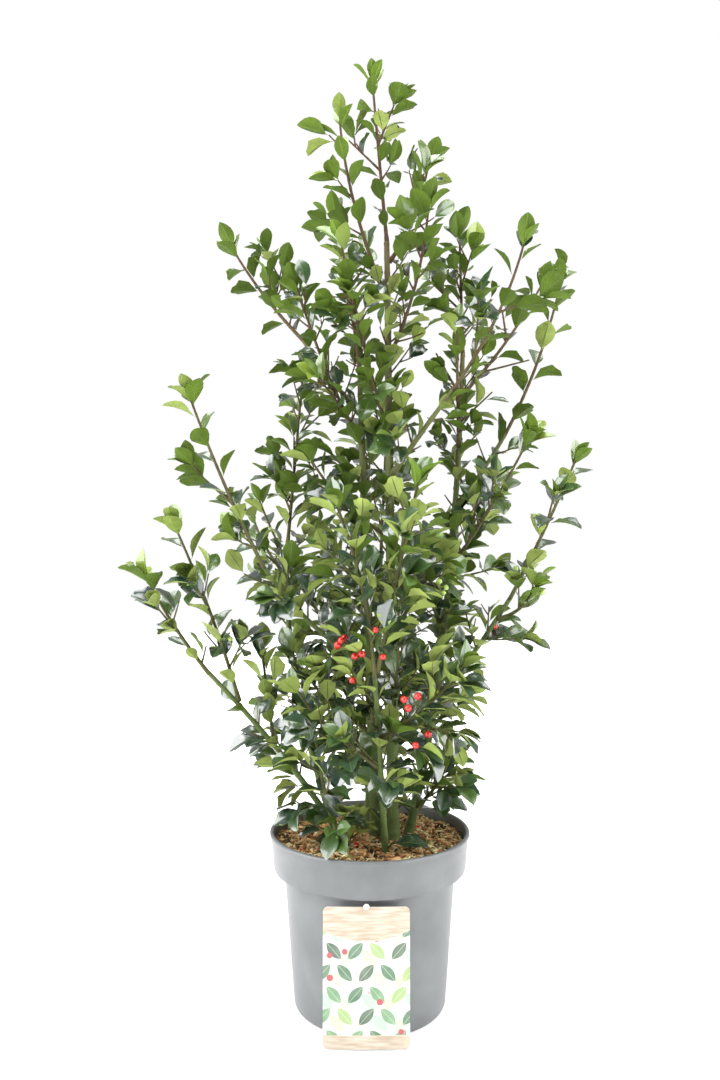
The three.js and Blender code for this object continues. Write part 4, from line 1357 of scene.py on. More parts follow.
def leaf_layers(tree, x, y, wash):
    """Two staggered layers of leaf ovals on a pale ground, each washed with green in patches."""
    picture = overlay(tree, wash, (0.55, 0.57, 0.52), (0.64, 0.66, 0.64))
    for shift_side, shift_up, *greens in PRINT_LAYERS:
        side = calc(tree, "MULTIPLY_ADD", x, 4.0, shift_side)
        up = calc(tree, "MULTIPLY_ADD", y, 6.5, shift_up)
        amount, tint = leaf_ovals(tree, side, up, greens)
        washed = overlay(tree, calc(tree, "MULTIPLY", wash, 0.35), tint, (0.4, 0.5, 0.36))
        picture = overlay(tree, amount, picture, washed)
    return picture


def red_dots(tree, x, y, picture):
    """Dots at the centres of some of a cell noise's cells, laid over a picture."""
    place = join(tree, calc(tree, "MULTIPLY", x, 7.0), calc(tree, "MULTIPLY", y, 11.2))
    values = {"Vector": place, "Scale": 1.0, "Randomness": 0.75}
    cells = add_node(tree, "TexVoronoi", values).outputs
    distance = cells["Distance"]
    luck = add_node(tree, "SeparateColor", {0: cells["Color"]}).outputs[1]
    some = calc(tree, "GREATER_THAN", luck, 0.45)
    near = calc(tree, "MULTIPLY", calc(tree, "SUBTRACT", 0.3, distance), 16.0, clamp=True)
    reds = overlay(tree, distance, (0.42, 0.07, 0.085), (0.2, 0.01, 0.025))
    return overlay(tree, calc(tree, "MULTIPLY", near, some), picture, reds)


def print_material():
    """Coated card on its own UV map: leaf ovals and dots under a wide wood-toned band, whose edge
    is an arch of 0.76 plus 0.3 times the square of x less a half, and over a slim one."""
    material, tree, shader = blank_material("tag_print", 0.32, coat=0.35, coat_roughness=0.15)
    place = card_place(tree)
    x, y, _ = split(tree, place)
    wash = use_group(tree, "mottle", Scale=55.0, Contrast=1.6)
    picture = red_dots(tree, x, y, leaf_layers(tree, x, y, wash))
    grain = add_node(tree, "Mapping", {"Vector": place, "Scale": (2.0, 26.0, 1.0)}).outputs[0]
    wood = calc(tree, "SUBTRACT", noise(tree, grain, 1.7, 5), 0.36)
    knots = calc(tree, "MULTIPLY", wood, 3.0, clamp=True)
    planks = overlay(tree, knots, (0.35, 0.275, 0.195), (0.51, 0.465, 0.385))
    offside = calc(tree, "SUBTRACT", x, 0.5)
    arch = calc(tree, "MULTIPLY_ADD", calc(tree, "MULTIPLY", offside, offside), 0.3, 0.76)
    low = calc(tree, "LESS_THAN", y, 0.1)
    high = calc(tree, "GREATER_THAN", y, arch)
    fill(tree, shader, {
        "Base Color": overlay(tree, calc(tree, "MAXIMUM", low, high), picture, planks),
        "Normal": use_group(tree, "fine_relief", Scale=900.0, Stretch=1.0, Depth=0.00005),
    })
    return material


# ---------- pieces ----------

# Pores of old bark; tints of young bark low down and high up, and its pores.
OLD_PORES = (0.24, 0.24, 0.13)
YOUNG_BARK = ((0.08, 0.085, 0.03), (0.085, 0.045, 0.028), (0.2, 0.15, 0.1))

# A limb's foot: how much wider it flares, how much wider its collar is, and how deep it is sunk.
STEM_FOOT = (0.34, 0, 8 * MM)
BOUGH_FOOT = (0, 0.4, 7 * MM)
BED_RADIUS = POT["band_foot_radius"] - POT["wall"] - 0.6 * MM
BED_RISE = 4 * MM
BED_FALL = 1.5 * MM
FIBRE_RINGS = 6
CHIP_TINTS = {
    "tan": (0.7, 0.41, 0.185),
    "gold": (0.95, 0.7, 0.39),
    "red": (0.4, 0.16, 0.07),
    "brown": (0.27, 0.125, 0.05),
    "moss": (0.2, 0.175, 0.05),
    "dark": (0.05, 0.028, 0.017),
}

# Where in a roll from 0 to 1 a chip or a fibre passes from one tint to the next.
CHIP_KINDS = (0.3, 0.46, 0.66, 0.84, 0.9)
FIBRE_KINDS = (0.3, 0.62, 0.72, 0.84, 0.96)

# Chips: shortest and longest share of the set length and how rare the long ones are, width as a
# share of it, thickness and height over the bed in mm, tilt of the shortest and the longest and
# roll in degrees, and how far each corner is drawn in or out.
CHIP_LONG, CHIP_RARITY = (0.28, 1.0), 2.2
CHIP_WIDE, CHIP_THICK, CHIP_LAYER = (0.25, 0.75), (0.8, 2.2), (0.2, 3.6)
CHIP_TILT, CHIP_ROLL = (42, 16), (-38, 38)
CHIP_CORNERS = (0.62, 1.15)

# Fibres: the same for their length, width, height over the bed and rise in the middle in mm, bend,
# roll and twist in radians, slope, and thickness as a share of the width.
FIBRE_LONG, FIBRE_RARITY = (0.22, 1.0), 1.8
FIBRE_WIDE, FIBRE_LIFT, FIBRE_BOW = (0.8, 2.0), (1.2, 4.4), (0.5, 3.0)
FIBRE_BEND, FIBRE_ROLL, FIBRE_TWIST = (-1.9, 1.9), (-0.9, 0.9), (-1.2, 1.2)
FIBRE_SLOPE = (-0.1, 0.16)
FIBRE_FLATNESS = 0.32

# Berries: how far sideways and up each one shows from the camera, in mm, in the upright plane
# through the pot's middle.
RIPE = [
    (-74, 533), (-57, 542), (-65, 562), (-42, 536), (-53, 525), (-21, 513), (-12, 516), (-34, 488),
    (10, 560), (20, 510), (52, 447), (71, 451), (58, 434), (89, 397), (75, 376), (190, 557),
]
UNRIPE = [(297, 592), (209, 651), (126, 597), (108, 625), (-213, 544), (284, 604), (118, 612)]
FALLEN = [(-62, -92), (48, -126), (-20, -40), (74, 40), (-88, 30), (30, 96)]
LONGEST_STALK = 13 * MM
GREEN_BERRY = (0.32, 0.44, 0.09)
BERRY_SCAR = (0.03, 0.018, 0.012)
BERRY_STALK = (0.12, 0.15, 0.04)

# What a shoot further back is held to cost, as a share of how far back; a berry's spread of size,
# its pull to the front and its least stalk as shares of its radius; how far apart two berries are
# put; and the width of the loose cage that leaves stay out of, and its reach to the front.
BACK_COST = 0.3
BERRY_SPREAD = (0.9, 1.1)
BERRY_FORWARD, LEAST_STALK = 0.8, 1.7
BERRY_GAP = 1.03
CAGE_WIDTH, CAGE_REACH = 1.15, 12

# Where the camera stands, in metres.
EYE = np.array([-0.0146, -1.283, 0.648])


def place_berries(shoots, radius):
    """Puts each berry on a short stalk at the shoot that shows nearest to its place, with a small
    allowance for shoots further back."""
    shares = np.linspace(0.1, 0.95, 12)
    runs = [shoot.run for shoot in shoots if shoot.kind != "limb"]
    points = np.concatenate([run.points(shares) for run in runs])
    tangents = np.concatenate([run.tangents(shares) for run in runs])
    reach = -EYE[1] / (points[:, 1] - EYE[1])
    shown = EYE + (points - EYE) * reach[:, None]
    dice = Dice(SEEDS["berries"])
    berries = []
    for kind, wanted, share in (("ripe", RIPE, 1.0), ("unripe", UNRIPE, 0.8)):
        for sideways, up in wanted:
            target = np.array([sideways * MM, 0, up * MM])
            gap = np.linalg.norm((shown - target)[:, [0, 2]], axis=1) + BACK_COST * points[:, 1]
            nearest = int(np.argmin(gap))
            place, tangent = points[nearest], tangents[nearest]
            aim = EYE + (target - EYE) * ((place[1] - EYE[1]) / -EYE[1]) - place
            aim = aim + np.array([0, -1, 0]) * radius * BERRY_FORWARD
            aim = aim - tangent * (aim @ tangent)
            size = radius * dice.roll(*BERRY_SPREAD) * share
            distance = min(max(np.linalg.norm(aim), size * LEAST_STALK), LONGEST_STALK)
            centre = place + unit(aim + np.array([0, -1e-4, 0])) * distance
            for _, other, other_size, _ in berries:
                step = centre - other
                if np.linalg.norm(step) < size + other_size:
                    centre = other + unit(step) * (size + other_size) * BERRY_GAP
            berries.append((kind, centre, size, place))
    return berries


@functools.lru_cache(maxsize=1)
def grow(spur_spacing, berry_radius):
    """The limbs, the masses' space, the shoots and the berries."""
    limbs = lay_limbs()
    masses = [Mass(index, row, limbs) for index, row in enumerate(list_masses())]
    space = Space(masses, limbs)
    shoots = grow_shoots(limbs, masses, space, spur_spacing)
    berries = place_berries(shoots, berry_radius)
    return {"limbs": limbs, "space": space, "shoots": shoots, "berries": berries}


def grown():
    """The plant for the scene's sizes, worked out once for all the operators."""
    sizes = bpy.context.scene.holly_sizes
    return grow(sizes.spur_spacing, sizes.berry_radius)


def berry_cages(berries):
    """Each berry as a loose octahedron drawn out to the front, so that no leaf cuts or hides it."""
    front = [0, -CAGE_REACH, 0]
    axes = np.array([[1, 0, 0], [-1, 0, 0], [0, 1, 0], front, [0, 0, 1], [0, 0, -1]])
    corners = np.array([[x, y, z] for x in (0, 1) for y in (2, 3) for z in (4, 5)])
    points = np.concatenate([centre + axes * size * CAGE_WIDTH for _, centre, size, _ in berries])
    return points, repeated(corners, len(berries), len(axes))


class HOLLY_OT_limbs(bpy.types.Operator):
    """Bark of the stems and boughs, and of the young shoots that carry the leaves"""

    bl_idname = "holly.limbs"
    bl_label = "Limbs and shoots"

    def execute(self, context):
        tints = context.scene.holly_colours
        state = grown()
        bark = bark_material("bark_old", tints.bark_low, tints.bark_high, OLD_PORES)
        young = bark_material("bark_young", *YOUNG_BARK)
        dice = Dice(SEEDS["bark"])
        parts = [
            limb_surface(run, *(STEM_FOOT if name.startswith("stem") else BOUGH_FOOT), dice)
            for name, run in state["limbs"].items()
        ]
        finish_piece(mesh_object("limbs", *merge(parts), [bark]), "bark", *state["limbs"])
        parts = [twig_surface(shoot, dice) for shoot in state["shoots"] if shoot.kind != "limb"]
        finish_piece(mesh_object("shoots", *merge(parts), [young]), "bark")
        return {"FINISHED"}


class HOLLY_OT_leaves(bpy.types.Operator):
    """All leaves, in one piece for each age"""

    bl_idname = "holly.leaves"
    bl_label = "Leaves"

    def execute(self, context):
        sizes = context.scene.holly_sizes
        tints = context.scene.holly_colours
        state = grown()
        leaves = pick_leaves(state["shoots"], state["space"], sizes, berry_cages(state["berries"]))
        age = np.digitize(leaves["youth"], AGE_EDGES)
        for index, name in enumerate(AGES):
            young = index / (len(AGES) - 1)
            tint = getattr(tints, f"leaf_{name}")
            under = shade(tints.under_young, mix(0.8, 1.25, young))
            # dull is partly the undersides' own pale tint and partly painted light shining through
            # low leaves.
            dull = between(tints.under_old, tints.under_young, 0.5 * young)
            rib = between(tint, dull, 0.3)
            materials = [
                leaf_material(f"leaf_{name}", tint, young),
                plain_finish(f"rib_{name}", rib, 0.1, 30.0, 0.45, 0.0002, 300.0, specular=0.2),
                under_material(f"under_{name}", under),
                # The cool blade is the darker, bluer copy of the tint: painted shade.
                leaf_material(f"leaf_{name}_cool", cool(tint), young),
                under_material(f"under_{name}_cool", dull),
            ]
            piece = leaf_mesh(f"leaves_{name}", take(leaves, age == index), materials)
            finish_piece(piece, "foliage")
        names = [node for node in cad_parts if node.startswith("foliage_")]
        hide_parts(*names)
        return {"FINISHED"}


class HOLLY_OT_berries(bpy.types.Operator):
    """Ripe and unripe berries on their stalks, and a few fallen on the compost"""

    bl_idname = "holly.berries"
    bl_label = "Berries"

    def execute(self, context):
        radius = context.scene.holly_sizes.berry_radius
        red = context.scene.holly_colours.berry
        shine = {"coat": 0.5, "coat_roughness": 0.08}
        looks = {
            "ripe": plain_finish("berry_ripe", red, 0.22, 120.0, 0.24, 0.0001, 700.0, **shine),
            "unripe": plain_finish(
                "berry_green", GREEN_BERRY, 0.15, 120.0, 0.3, 0.0001, 700.0, coat=0.4
            ),
            "scar": plain_finish("berry_scar", BERRY_SCAR, 0.2, 300.0, 0.7, 0.0002, 900.0),
            "stalk": plain_finish("berry_stalk", BERRY_STALK, 0.2, 90.0, 0.5, 0.0002, 600.0),
        }
        parts = {kind: [] for kind in looks}
        for kind, centre, size, place in grown()["berries"]:
            axis = unit(centre - place)
            way = (centre - axis * size * 0.8 - place) * np.linspace(0, 1, 5)[:, None]
            parts["stalk"].append(tube(place + way, np.linspace(0.8, 0.6, 5) * MM, 5))
            for part, surface in zip((kind, "scar"), berry(centre, size, axis)):
                parts[part].append(surface)
        dice = Dice(SEEDS["fallen"])
        for x, y in np.array(FALLEN) * MM:
            axis = unit(np.array([dice.roll(-1, 1), dice.roll(-1, 1), dice.roll(0.2, 1)]))
            centre = np.array([x, y, bed_height(x, y) + radius * 0.9])
            for part, surface in zip(("ripe", "scar"), berry(centre, radius, axis)):
                parts[part].append(surface)
        for kind, material in looks.items():
            piece = mesh_object(f"berries_{kind}", *merge(parts[kind]), [material])
            finish_piece(piece, "foliage")
        return {"FINISHED"}


class HOLLY_OT_pot(bpy.types.Operator):
    """The moulded pot with its stepped band, rolled rim and drain holes"""

    bl_idname = "holly.pot"
    bl_label = "Pot"

    def execute(self, context):
        tint = context.scene.holly_colours.plastic
        # The plastic's lighter and darker patches are partly scuffs and partly painted reflection,
        # copying the band's uneven glossy patches.
        plastic = plain_finish("pot_plastic", tint, 0.24, 11.0, 0.36, 0.00012, 520.0, stretch=0.3)
        pot = mesh_object("pot_shell", *turned_surface(pot_profile(), 144), [plastic])
        depth = UP * np.linspace(-2, 2, 3)[:, None] * POT["floor"]
        drills = []
        for angle in np.arange(POT["drains"]) * 2 * math.pi / POT["drains"]:
            middle = np.array([math.cos(angle), math.sin(angle), 0]) * POT["drain_circle"]
            drills.append(tube(middle + depth, np.full(3, POT["drain_radius"]), 24))
        drill = mesh_object("drills", *merge(drills), [])
        cut = pot.modifiers.new("drains", "BOOLEAN")
        cut.object = drill
        cut.solver = "EXACT"
        bpy.context.view_layer.objects.active = pot
        bpy.ops.object.modifier_apply(modifier=cut.name)
        bpy.data.objects.remove(drill)
        finish_piece(pot, "pot_plastic", "pot")
        return {"FINISHED"}


def pot_profile():
    """The pot's section in metres, from the middle of its underside, up the outside, over the rim
    and down the inside to the middle of its floor."""
    top = POT["height"]
    step = top - POT["band_height"]
    base, shoulder, wall = POT["base_radius"], POT["shoulder_radius"], POT["wall"]
    band_foot, band_top, rim = POT["band_foot_radius"], POT["band_top_radius"], POT["rim_radius"]
    inner_foot, inner_top, floor = band_foot - wall, band_top - wall, POT["floor"] + 0.0015
    sole = [(0, 0.0015), (0.05, 0.0015), (0.094, 0.0015), (0.1, 0.0), (base - 0.004, 0.0)]
    sole += [(base - 0.0012, 0.0012), (base, 0.004)]
    climb = np.linspace(0, 1, 8)[1:]
    side = [(mix(base, shoulder, t), mix(0.004, step - 0.012, t)) for t in climb]
    band = [
        (shoulder + 0.0012, step - 0.006), (shoulder + 0.006, step - 0.002),
        (band_foot - 0.004, step - 0.0002), (band_foot - 0.001, step + 0.0004),
        (band_foot, step + 0.003), (mix(band_foot, band_top, 0.5), mix(step, top, 0.5)),
        (band_top, top - 0.0062), (rim - 0.0004, top - 0.005), (rim, top - 0.0035),
        (rim - 0.0004, top - 0.0014), (rim - 0.0016, top),
    ]
    inside = [
        (inner_top - 0.0004, top), (inner_top - 0.0014, top - 0.0014),
        (inner_top - 0.0016, top - 0.006), (inner_foot - 0.002, step + 0.006),
        (shoulder + 0.001, step + 0.001), (shoulder - wall - 0.001, step - 0.01),
        (base - wall, 0.008), (base - wall - 0.004, floor), (0.05, floor), (0, floor),
    ]
    return sole + side + band + inside


class HOLLY_OT_medium(bpy.types.Operator):
    """Compost: an uneven bed covered with bark chips and wood fibres of several tints"""

    bl_idname = "holly.medium"
    bl_label = "Compost"

    def execute(self, context):
        sizes = context.scene.holly_sizes
        earth = plain_finish("compost", (0.055, 0.03, 0.016), 0.5, 160.0, 0.95, 0.002, 300.0)
        points, quads, caps = turned_surface(bed_profile(), 120)
        upper = points[:, 2] > SOIL_TOP - 6 * MM
        points[upper, 2] += bed_height(points[upper, 0], points[upper, 1]) - SOIL_TOP
        bed = mesh_object("compost_bed", points, quads, caps, [earth])
        finish_piece(bed, "growing_medium", "growing_medium")
        materials = [
            plain_finish(f"chip_{name}", tint, 0.4, 150.0, 0.8, 0.0008, 420.0, specular=0.25)
            for name, tint in CHIP_TINTS.items()
        ]
        for name, shapes in (("chips", chip_shapes), ("fibres", fibre_shapes)):
            points, quads, kinds = shapes(sizes)
            piece = mesh_object(f"compost_{name}", points, quads, [], materials, kinds)
            finish_piece(piece, "growing_medium")
        return {"FINISHED"}


def bed_profile():
    """The bed's section: flat below, up the inside of the pot, and over its top to the middle."""
    edge = BED_RADIUS
    low = POT["floor"] + 3 * MM
    foot = POT["base_radius"] - POT["wall"] - 6 * MM
    shoulder = POT["shoulder_radius"] - POT["wall"] - 6 * MM
    step = POT["height"] - POT["band_height"]
    side = [
        (0, low), (foot, low), (shoulder, step - 14 * MM), (shoulder, step - 2 * MM),
        (edge - 2 * MM, step + 8 * MM), (edge, SOIL_TOP - 7 * MM),
    ]
    return side + [(edge * t, SOIL_TOP) for t in np.linspace(0.995, 0.02, 44)] + [(0, SOIL_TOP)]


def bed_height(x, y):
    """Height of the bed's top: a mean that falls a little to its edge, and sines of several
    directions and lengths."""
    bumps = np.sin(x * 95 + 1.3) * np.sin(y * 88 + 0.4) * 1.6
    bumps = bumps + np.sin(x * 210 + y * 130 + 2) * 0.9 + np.sin(y * 260 - x * 90) * 0.7
    return SOIL_TOP + BED_RISE - BED_FALL * (np.hypot(x, y) / BED_RADIUS) ** 6 + bumps * MM


def strewn(dice, count):
    """Places spread evenly over a disc: shares of its radius, and angles."""
    return np.sqrt(dice.rolls(0, 1, count)), dice.rolls(0, 2 * math.pi, count)


def chip_shapes(sizes):
    """Bark chips as tapered slabs of eight corners that lie over each other, tilted a little more
    the shorter they are. Returns points, quads and a tint for each face."""
    dice = Dice(SEEDS["chips"])
    count = sizes.chips
    away, angle = strewn(dice, count)
    scale = dice.rolls(0, 1, count) ** CHIP_RARITY
    long = sizes.chip_length * mix(*CHIP_LONG, scale)
    away = away * (BED_RADIUS - 0.5 * long)
    wide = long * dice.rolls(*CHIP_WIDE, count)
    thick = dice.rolls(*CHIP_THICK, count) * MM
    x, y = away * np.cos(angle), away * np.sin(angle)
    layer = dice.rolls(*CHIP_LAYER, count) * MM
    middle = np.stack([x, y, bed_height(x, y) + layer], axis=-1)
    yaw = dice.rolls(0, 2 * math.pi, count)
    tilt = np.radians(dice.rolls(-1, 1, count) * mix(*CHIP_TILT, scale))
    roll = np.radians(dice.rolls(*CHIP_ROLL, count))[:, None]
    level = np.cos(tilt)
    along = np.stack([np.cos(yaw) * level, np.sin(yaw) * level, np.sin(tilt)], axis=-1)
    flat = np.stack([-np.sin(yaw), np.cos(yaw), np.zeros(count)], axis=-1)
    across = flat * np.cos(roll) + np.cross(along, flat) * np.sin(roll)
    up = np.cross(along, across)
    square = ((-1, -1), (1, -1), (1, 1), (-1, 1))
    corners = np.array([(a, b, c) for c in (-1, 1) for a, b in square])
    drawn = dice.rolls(*CHIP_CORNERS, corners.size * count).reshape(count, *corners.shape)
    shape = corners[None] * drawn / 2
    points = middle[:, None]
    for k, (direction, size) in enumerate(((along, long), (across, wide), (up, thick))):
        points = points + shape[..., k:k + 1] * (direction * size[:, None])[:, None]
    box = [(3, 2, 1, 0), (4, 5, 6, 7), (0, 1, 5, 4), (1, 2, 6, 5), (2, 3, 7, 6), (3, 0, 4, 7)]
    kinds = np.searchsorted(CHIP_KINDS, dice.rolls(0, 1, count))
    return points.reshape(-1, 3), repeated(box, count, 8), np.repeat(kinds, 6)


def fibre_shapes(sizes):
    """Wood fibres as four-sided strips that bend round an arc and bow up in the middle, tapering
    to both ends. Returns points, quads and a tint for each face."""
    dice = Dice(SEEDS["fibres"])
    count = sizes.fibres
    limit = BED_RADIUS - 1.5 * MM

    def rolls(low, high):
        return dice.rolls(low, high, count)[:, None]

    away, angle = strewn(dice, count)
    away = (away * limit)[:, None]
    angle = angle[:, None]
    long = sizes.fibre_length * mix(*FIBRE_LONG, rolls(0, 1) ** FIBRE_RARITY)
    wide = rolls(*FIBRE_WIDE) * MM
    bend = rolls(*FIBRE_BEND)
    yaw = rolls(0, 2 * math.pi)
    share = np.linspace(-0.5, 0.5, FIBRE_RINGS)[None, :]
    turn = yaw + bend * share
    x = away * np.cos(angle) + long * share * np.cos(turn)
    y = away * np.sin(angle) + long * share * np.sin(turn)
    inward = np.minimum(1, limit / np.maximum(np.hypot(x, y), limit))
    x, y = x * inward, y * inward
    lift = rolls(*FIBRE_LIFT) * MM + rolls(*FIBRE_SLOPE) * long * share
    z = bed_height(x, y) + lift + rolls(*FIBRE_BOW) * MM * (0.25 - share**2) * 4
    middle = np.stack([x, y, z], axis=-1)
    along = unit(np.gradient(middle, axis=1))
    flat = unit(np.cross(UP, along))
    roll = (rolls(*FIBRE_ROLL) + rolls(*FIBRE_TWIST) * share)[..., None]
    across = flat * np.cos(roll) + np.cross(along, flat) * np.sin(roll)
    up = np.cross(along, across)
    taper = (wide * np.sqrt(np.clip(1.06 - 4 * share**2, 0.05, 1)))[..., None]
    thick = taper * FIBRE_FLATNESS
    signs = ((1, 1), (-1, 1), (-1, -1), (1, -1))
    corners = [a * across * taper / 2 + b * up * thick / 2 for a, b in signs]
    points = (middle[:, :, None] + np.stack(corners, axis=2)).reshape(-1, 3)
    last = (FIBRE_RINGS - 1) * 4
    strip = np.concatenate([
        grid_quads(FIBRE_RINGS, 4, True).reshape(-1, 4),
        [(3, 2, 1, 0), (last, last + 1, last + 2, last + 3)],
    ])
    kinds = np.searchsorted(FIBRE_KINDS, dice.rolls(0, 1, count))
    return points, repeated(strip, count, FIBRE_RINGS * 4), np.repeat(kinds, len(strip))


# Rows and columns of the card's grid, and the button's (radius, height) section in mm.
CARD_CORNER_ROWS = 8
CARD_ROWS = 34
CARD_COLUMNS = 25
PEG_PROFILE = np.array([(0, 0), (3.4, 0), (4.0, 0.4), (4.2, 0.9), (3.9, 1.4), (2.8, 1.7), (0, 1.8)])


class HOLLY_OT_tag(bpy.types.Operator):
    """The care tag: a thin rounded card with a slight bow, and the button that holds it"""

    bl_idname = "holly.tag"
    bl_label = "Care tag"

    def execute(self, context):
        paper = plain_finish("tag_back", (0.62, 0.6, 0.55), 0.03, 20.0, 0.5, 0.00005, 900.0)
        looks = [print_material(), paper]
        card = mesh_object("tag_card", *card_surface(), [], looks, *card_extras())
        finish_piece(card, "tag_card", "care_tag")
        peg = plain_finish("tag_peg", (0.58, 0.55, 0.48), 0.04, 60.0, 0.4, 0.00005, 900.0)
        points, quads, caps = turned_surface(PEG_PROFILE * MM, 32)
        middle = np.array([TAG["middle"], -TAG["stand"], TAG["foot"] + TAG["height"] + 0.5 * MM])
        points = middle + np.stack([points[:, 0], -points[:, 2], points[:, 1]], axis=-1)
        finish_piece(mesh_object("tag_tongue", points, quads, caps, [peg]), "tag_card")
        return {"FINISHED"}


def card_outline():
    """A grid over the card: rows that are closer at its ends, drawn in there by the round corners.
    Returns sideways places and heights, both from the card's lower middle."""
    corner = TAG["corner"]
    bend = corner * (1 - np.cos(np.linspace(0, math.pi / 2, CARD_CORNER_ROWS)))
    middle = np.linspace(corner, TAG["height"] - corner, CARD_ROWS - 2 * CARD_CORNER_ROWS + 2)[1:-1]
    height = np.concatenate([bend, middle, TAG["height"] - bend[::-1]])
    near_end = np.minimum(height, TAG["height"] - height)
    depth = np.clip(corner - near_end, 0, corner)
    inset = corner - np.sqrt(np.clip(corner**2 - depth**2, 0, None))
    half = TAG["width"] / 2 - inset
    side = np.linspace(-1, 1, CARD_COLUMNS)[None, :] * half[:, None]
    return side, np.repeat(height[:, None], CARD_COLUMNS, axis=1)


def card_surface():
    """Two sheets of one grid, the card's thickness apart, closed round the edge. The card bows
    forwards with the sine of its height and back with the square of the way to its sides."""
    side, height = card_outline()
    bow = 1.2 * MM * np.sin(np.pi * height / TAG["height"]) - 18 * side**2 * 0.02
    front = np.stack([TAG["middle"] + side, -TAG["stand"] - bow, TAG["foot"] + height], axis=-1)
    back = front + np.array([0, TAG["thickness"], 0])
    points = np.concatenate([front.reshape(-1, 3), back.reshape(-1, 3)])
    count = CARD_ROWS * CARD_COLUMNS
    sheet = grid_quads(CARD_ROWS, CARD_COLUMNS, False).reshape(-1, 4)
    index = np.arange(count).reshape(CARD_ROWS, CARD_COLUMNS)
    loop = np.concatenate([index[0, :-1], index[:-1, -1], index[-1, :0:-1], index[:0:-1, 0]])
    after = np.roll(loop, -1)
    rim = np.stack([loop, loop + count, after + count, after], axis=-1)
    return points, np.concatenate([sheet, sheet[:, ::-1] + count, rim])


def card_extras():
    """Faces of the front take the print, the rest the paper, and the UV map is the card's own
    width and height. The points of the edge are sharp."""
    faces = (CARD_ROWS - 1) * (CARD_COLUMNS - 1)
    rim = 2 * (CARD_ROWS - 1) + 2 * (CARD_COLUMNS - 1)
    slots = np.concatenate([np.zeros(faces), np.ones(faces + rim)])
    side, height = card_outline()
    uv = np.stack([side / TAG["width"] + 0.5, height / TAG["height"]], axis=-1).reshape(-1, 2)
    sharp = np.ones((CARD_ROWS, CARD_COLUMNS), dtype=bool)
    sharp[1:-1, 1:-1] = False
    return slots, np.concatenate([uv, uv]), np.tile(sharp.ravel(), 2)


def floor_material():
    """A pale floor that fades to plain white away from the pot."""
    pale = (0.9, 0.9, 0.9)
    material = plain_finish("stage_floor", pale, 0.01, 2.0, 0.6, 0.00005, 90.0, specular=0.2)
    tree = material.node_tree
    away = add_node(tree, "VectorMath", {0: object_place(tree)}, operation="LENGTH")
    fade = map_range(tree, away.outputs["Value"], 0.3, 2.4)
    glow = overlay(tree, fade, (0.12, 0.12, 0.12), (1, 1, 1))
    fill(tree, tree.nodes["Principled BSDF"], {"Emission Color": glow, "Emission Strength": 1.0})
    material.cycles.emission_sampling = "NONE"
    return material


def studio_world():
    """A room that is white behind the plant and dim on the camera's side, seen as plain white."""
    world = bpy.data.worlds.new("studio")
    world.use_nodes = True
    tree = world.node_tree
    y = split(tree, add_node(tree, "TexCoord").outputs["Generated"])["Y"]
    behind = map_range(tree, y, -0.6, 0.2, 0.06, 0.5, interpolation_type="SMOOTHSTEP")
    seen = add_node(tree, "LightPath").outputs["Is Camera Ray"]
    strength = calc(tree, "MAXIMUM", behind, seen)
    fill(tree, tree.nodes["Background"], {"Color": (1, 1, 1), "Strength": strength})
    return world


# Lamps: name, place, width and height in metres, and power in watts. All aim at LAMP_TARGET.
LAMPS = (
    ("left", (-3.7, -1.5, 2.1), (4.2, 4.0), 300),
    ("right", (3.7, -1.3, 2.0), (4.2, 4.0), 245),
    ("top", (-0.3, -0.8, 4.4), (4.6, 5.0), 400),
)
LAMP_TARGET = (0, 0, 0.7)
FLOOR_HALF = 7.0
FLOOR_DROP = 0.4 * MM
FOCAL_LENGTH = 27.93
CAMERA_TILT = 1.82


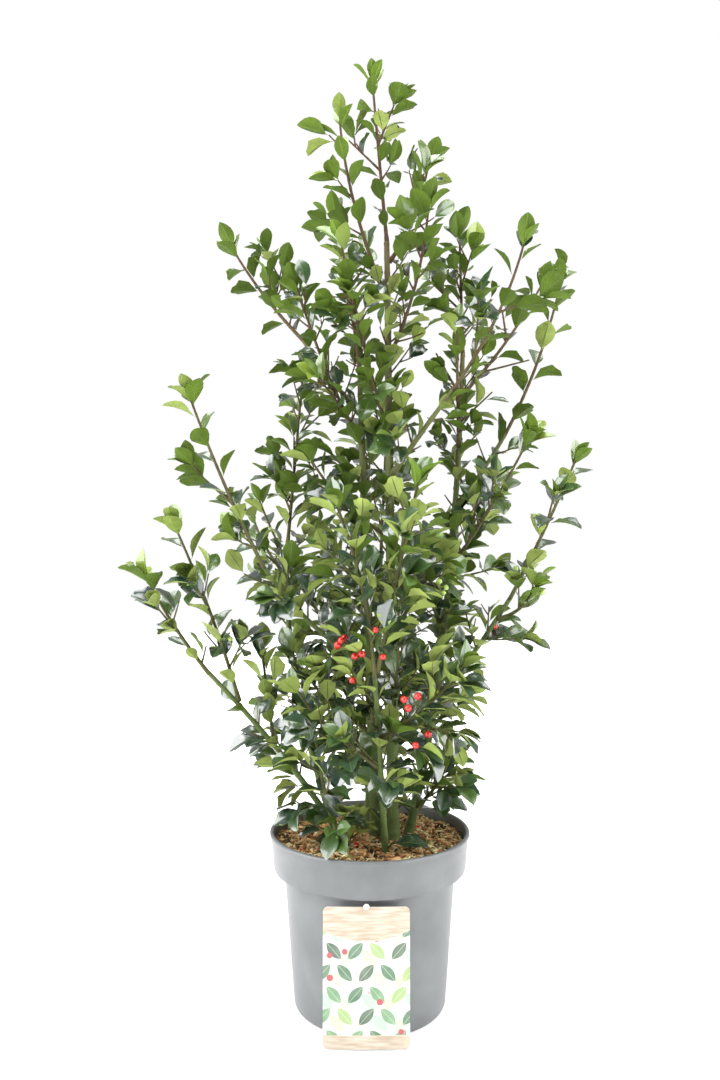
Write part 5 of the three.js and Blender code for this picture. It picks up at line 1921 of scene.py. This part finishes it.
class HOLLY_OT_stage(bpy.types.Operator):
    """Pale floor and white surroundings, soft studio lights and the camera"""

    bl_idname = "holly.stage"
    bl_label = "Studio"

    def execute(self, context):
        scene = context.scene
        corners = np.array([(-1, -1, 0), (1, -1, 0), (1, 1, 0), (-1, 1, 0)]) * FLOOR_HALF
        corners = corners - UP * FLOOR_DROP
        floor = mesh_object("floor", corners, [(0, 1, 2, 3)], [], [floor_material()])
        for name, place, size, power in LAMPS:
            light = bpy.data.lights.new(name, "AREA")
            light.shape = "RECTANGLE"
            light.size, light.size_y = size
            light.energy = power
            lamp = bpy.data.objects.new(name, light)
            lamp.location = place
            aim = Vector(LAMP_TARGET) - lamp.location
            lamp.rotation_euler = aim.to_track_quat("-Z", "Y").to_euler()
            scene.collection.objects.link(lamp)
        scene.world = studio_world()
        scene.view_settings.view_transform = "Standard"
        lens = bpy.data.cameras.new("camera")
        lens.sensor_width = 36
        lens.lens = FOCAL_LENGTH
        lens.clip_start = 0.05
        camera = bpy.data.objects.new("camera", lens)
        camera.location = EYE
        camera.rotation_euler = (math.radians(90 + CAMERA_TILT), 0, 0)
        scene.collection.objects.link(camera)
        scene.camera = camera
        return {"FINISHED"}


class HOLLY_PT_panel(bpy.types.Panel):
    bl_label = "Potted holly"
    bl_idname = "HOLLY_PT_panel"
    bl_space_type = "VIEW_3D"
    bl_region_type = "UI"
    bl_category = "Holly"

    def draw(self, context):
        for operator in OPERATORS:
            self.layout.operator(operator.bl_idname)
        for settings in (context.scene.holly_sizes, context.scene.holly_colours):
            box = self.layout.box()
            for label in settings.__annotations__:
                box.prop(settings, label)


OPERATORS = (
    HOLLY_OT_limbs,
    HOLLY_OT_leaves,
    HOLLY_OT_berries,
    HOLLY_OT_pot,
    HOLLY_OT_medium,
    HOLLY_OT_tag,
    HOLLY_OT_stage,
)
CLASSES = (HollySizes, HollyColours, *OPERATORS, HOLLY_PT_panel)


def register():
    for kind in CLASSES:
        bpy.utils.register_class(kind)
    bpy.types.Scene.holly_sizes = bpy.props.PointerProperty(type=HollySizes)
    bpy.types.Scene.holly_colours = bpy.props.PointerProperty(type=HollyColours)


def unregister():
    del bpy.types.Scene.holly_sizes
    del bpy.types.Scene.holly_colours
    for kind in reversed(CLASSES):
        bpy.utils.unregister_class(kind)


def main():
    register()
    mottle_group()
    relief_group()
    vein_group()
    bpy.ops.holly.limbs()
    bpy.ops.holly.leaves()
    bpy.ops.holly.berries()
    bpy.ops.holly.pot()
    bpy.ops.holly.medium()
    bpy.ops.holly.tag()
    bpy.ops.holly.stage()


if __name__ == "__main__":
    main()
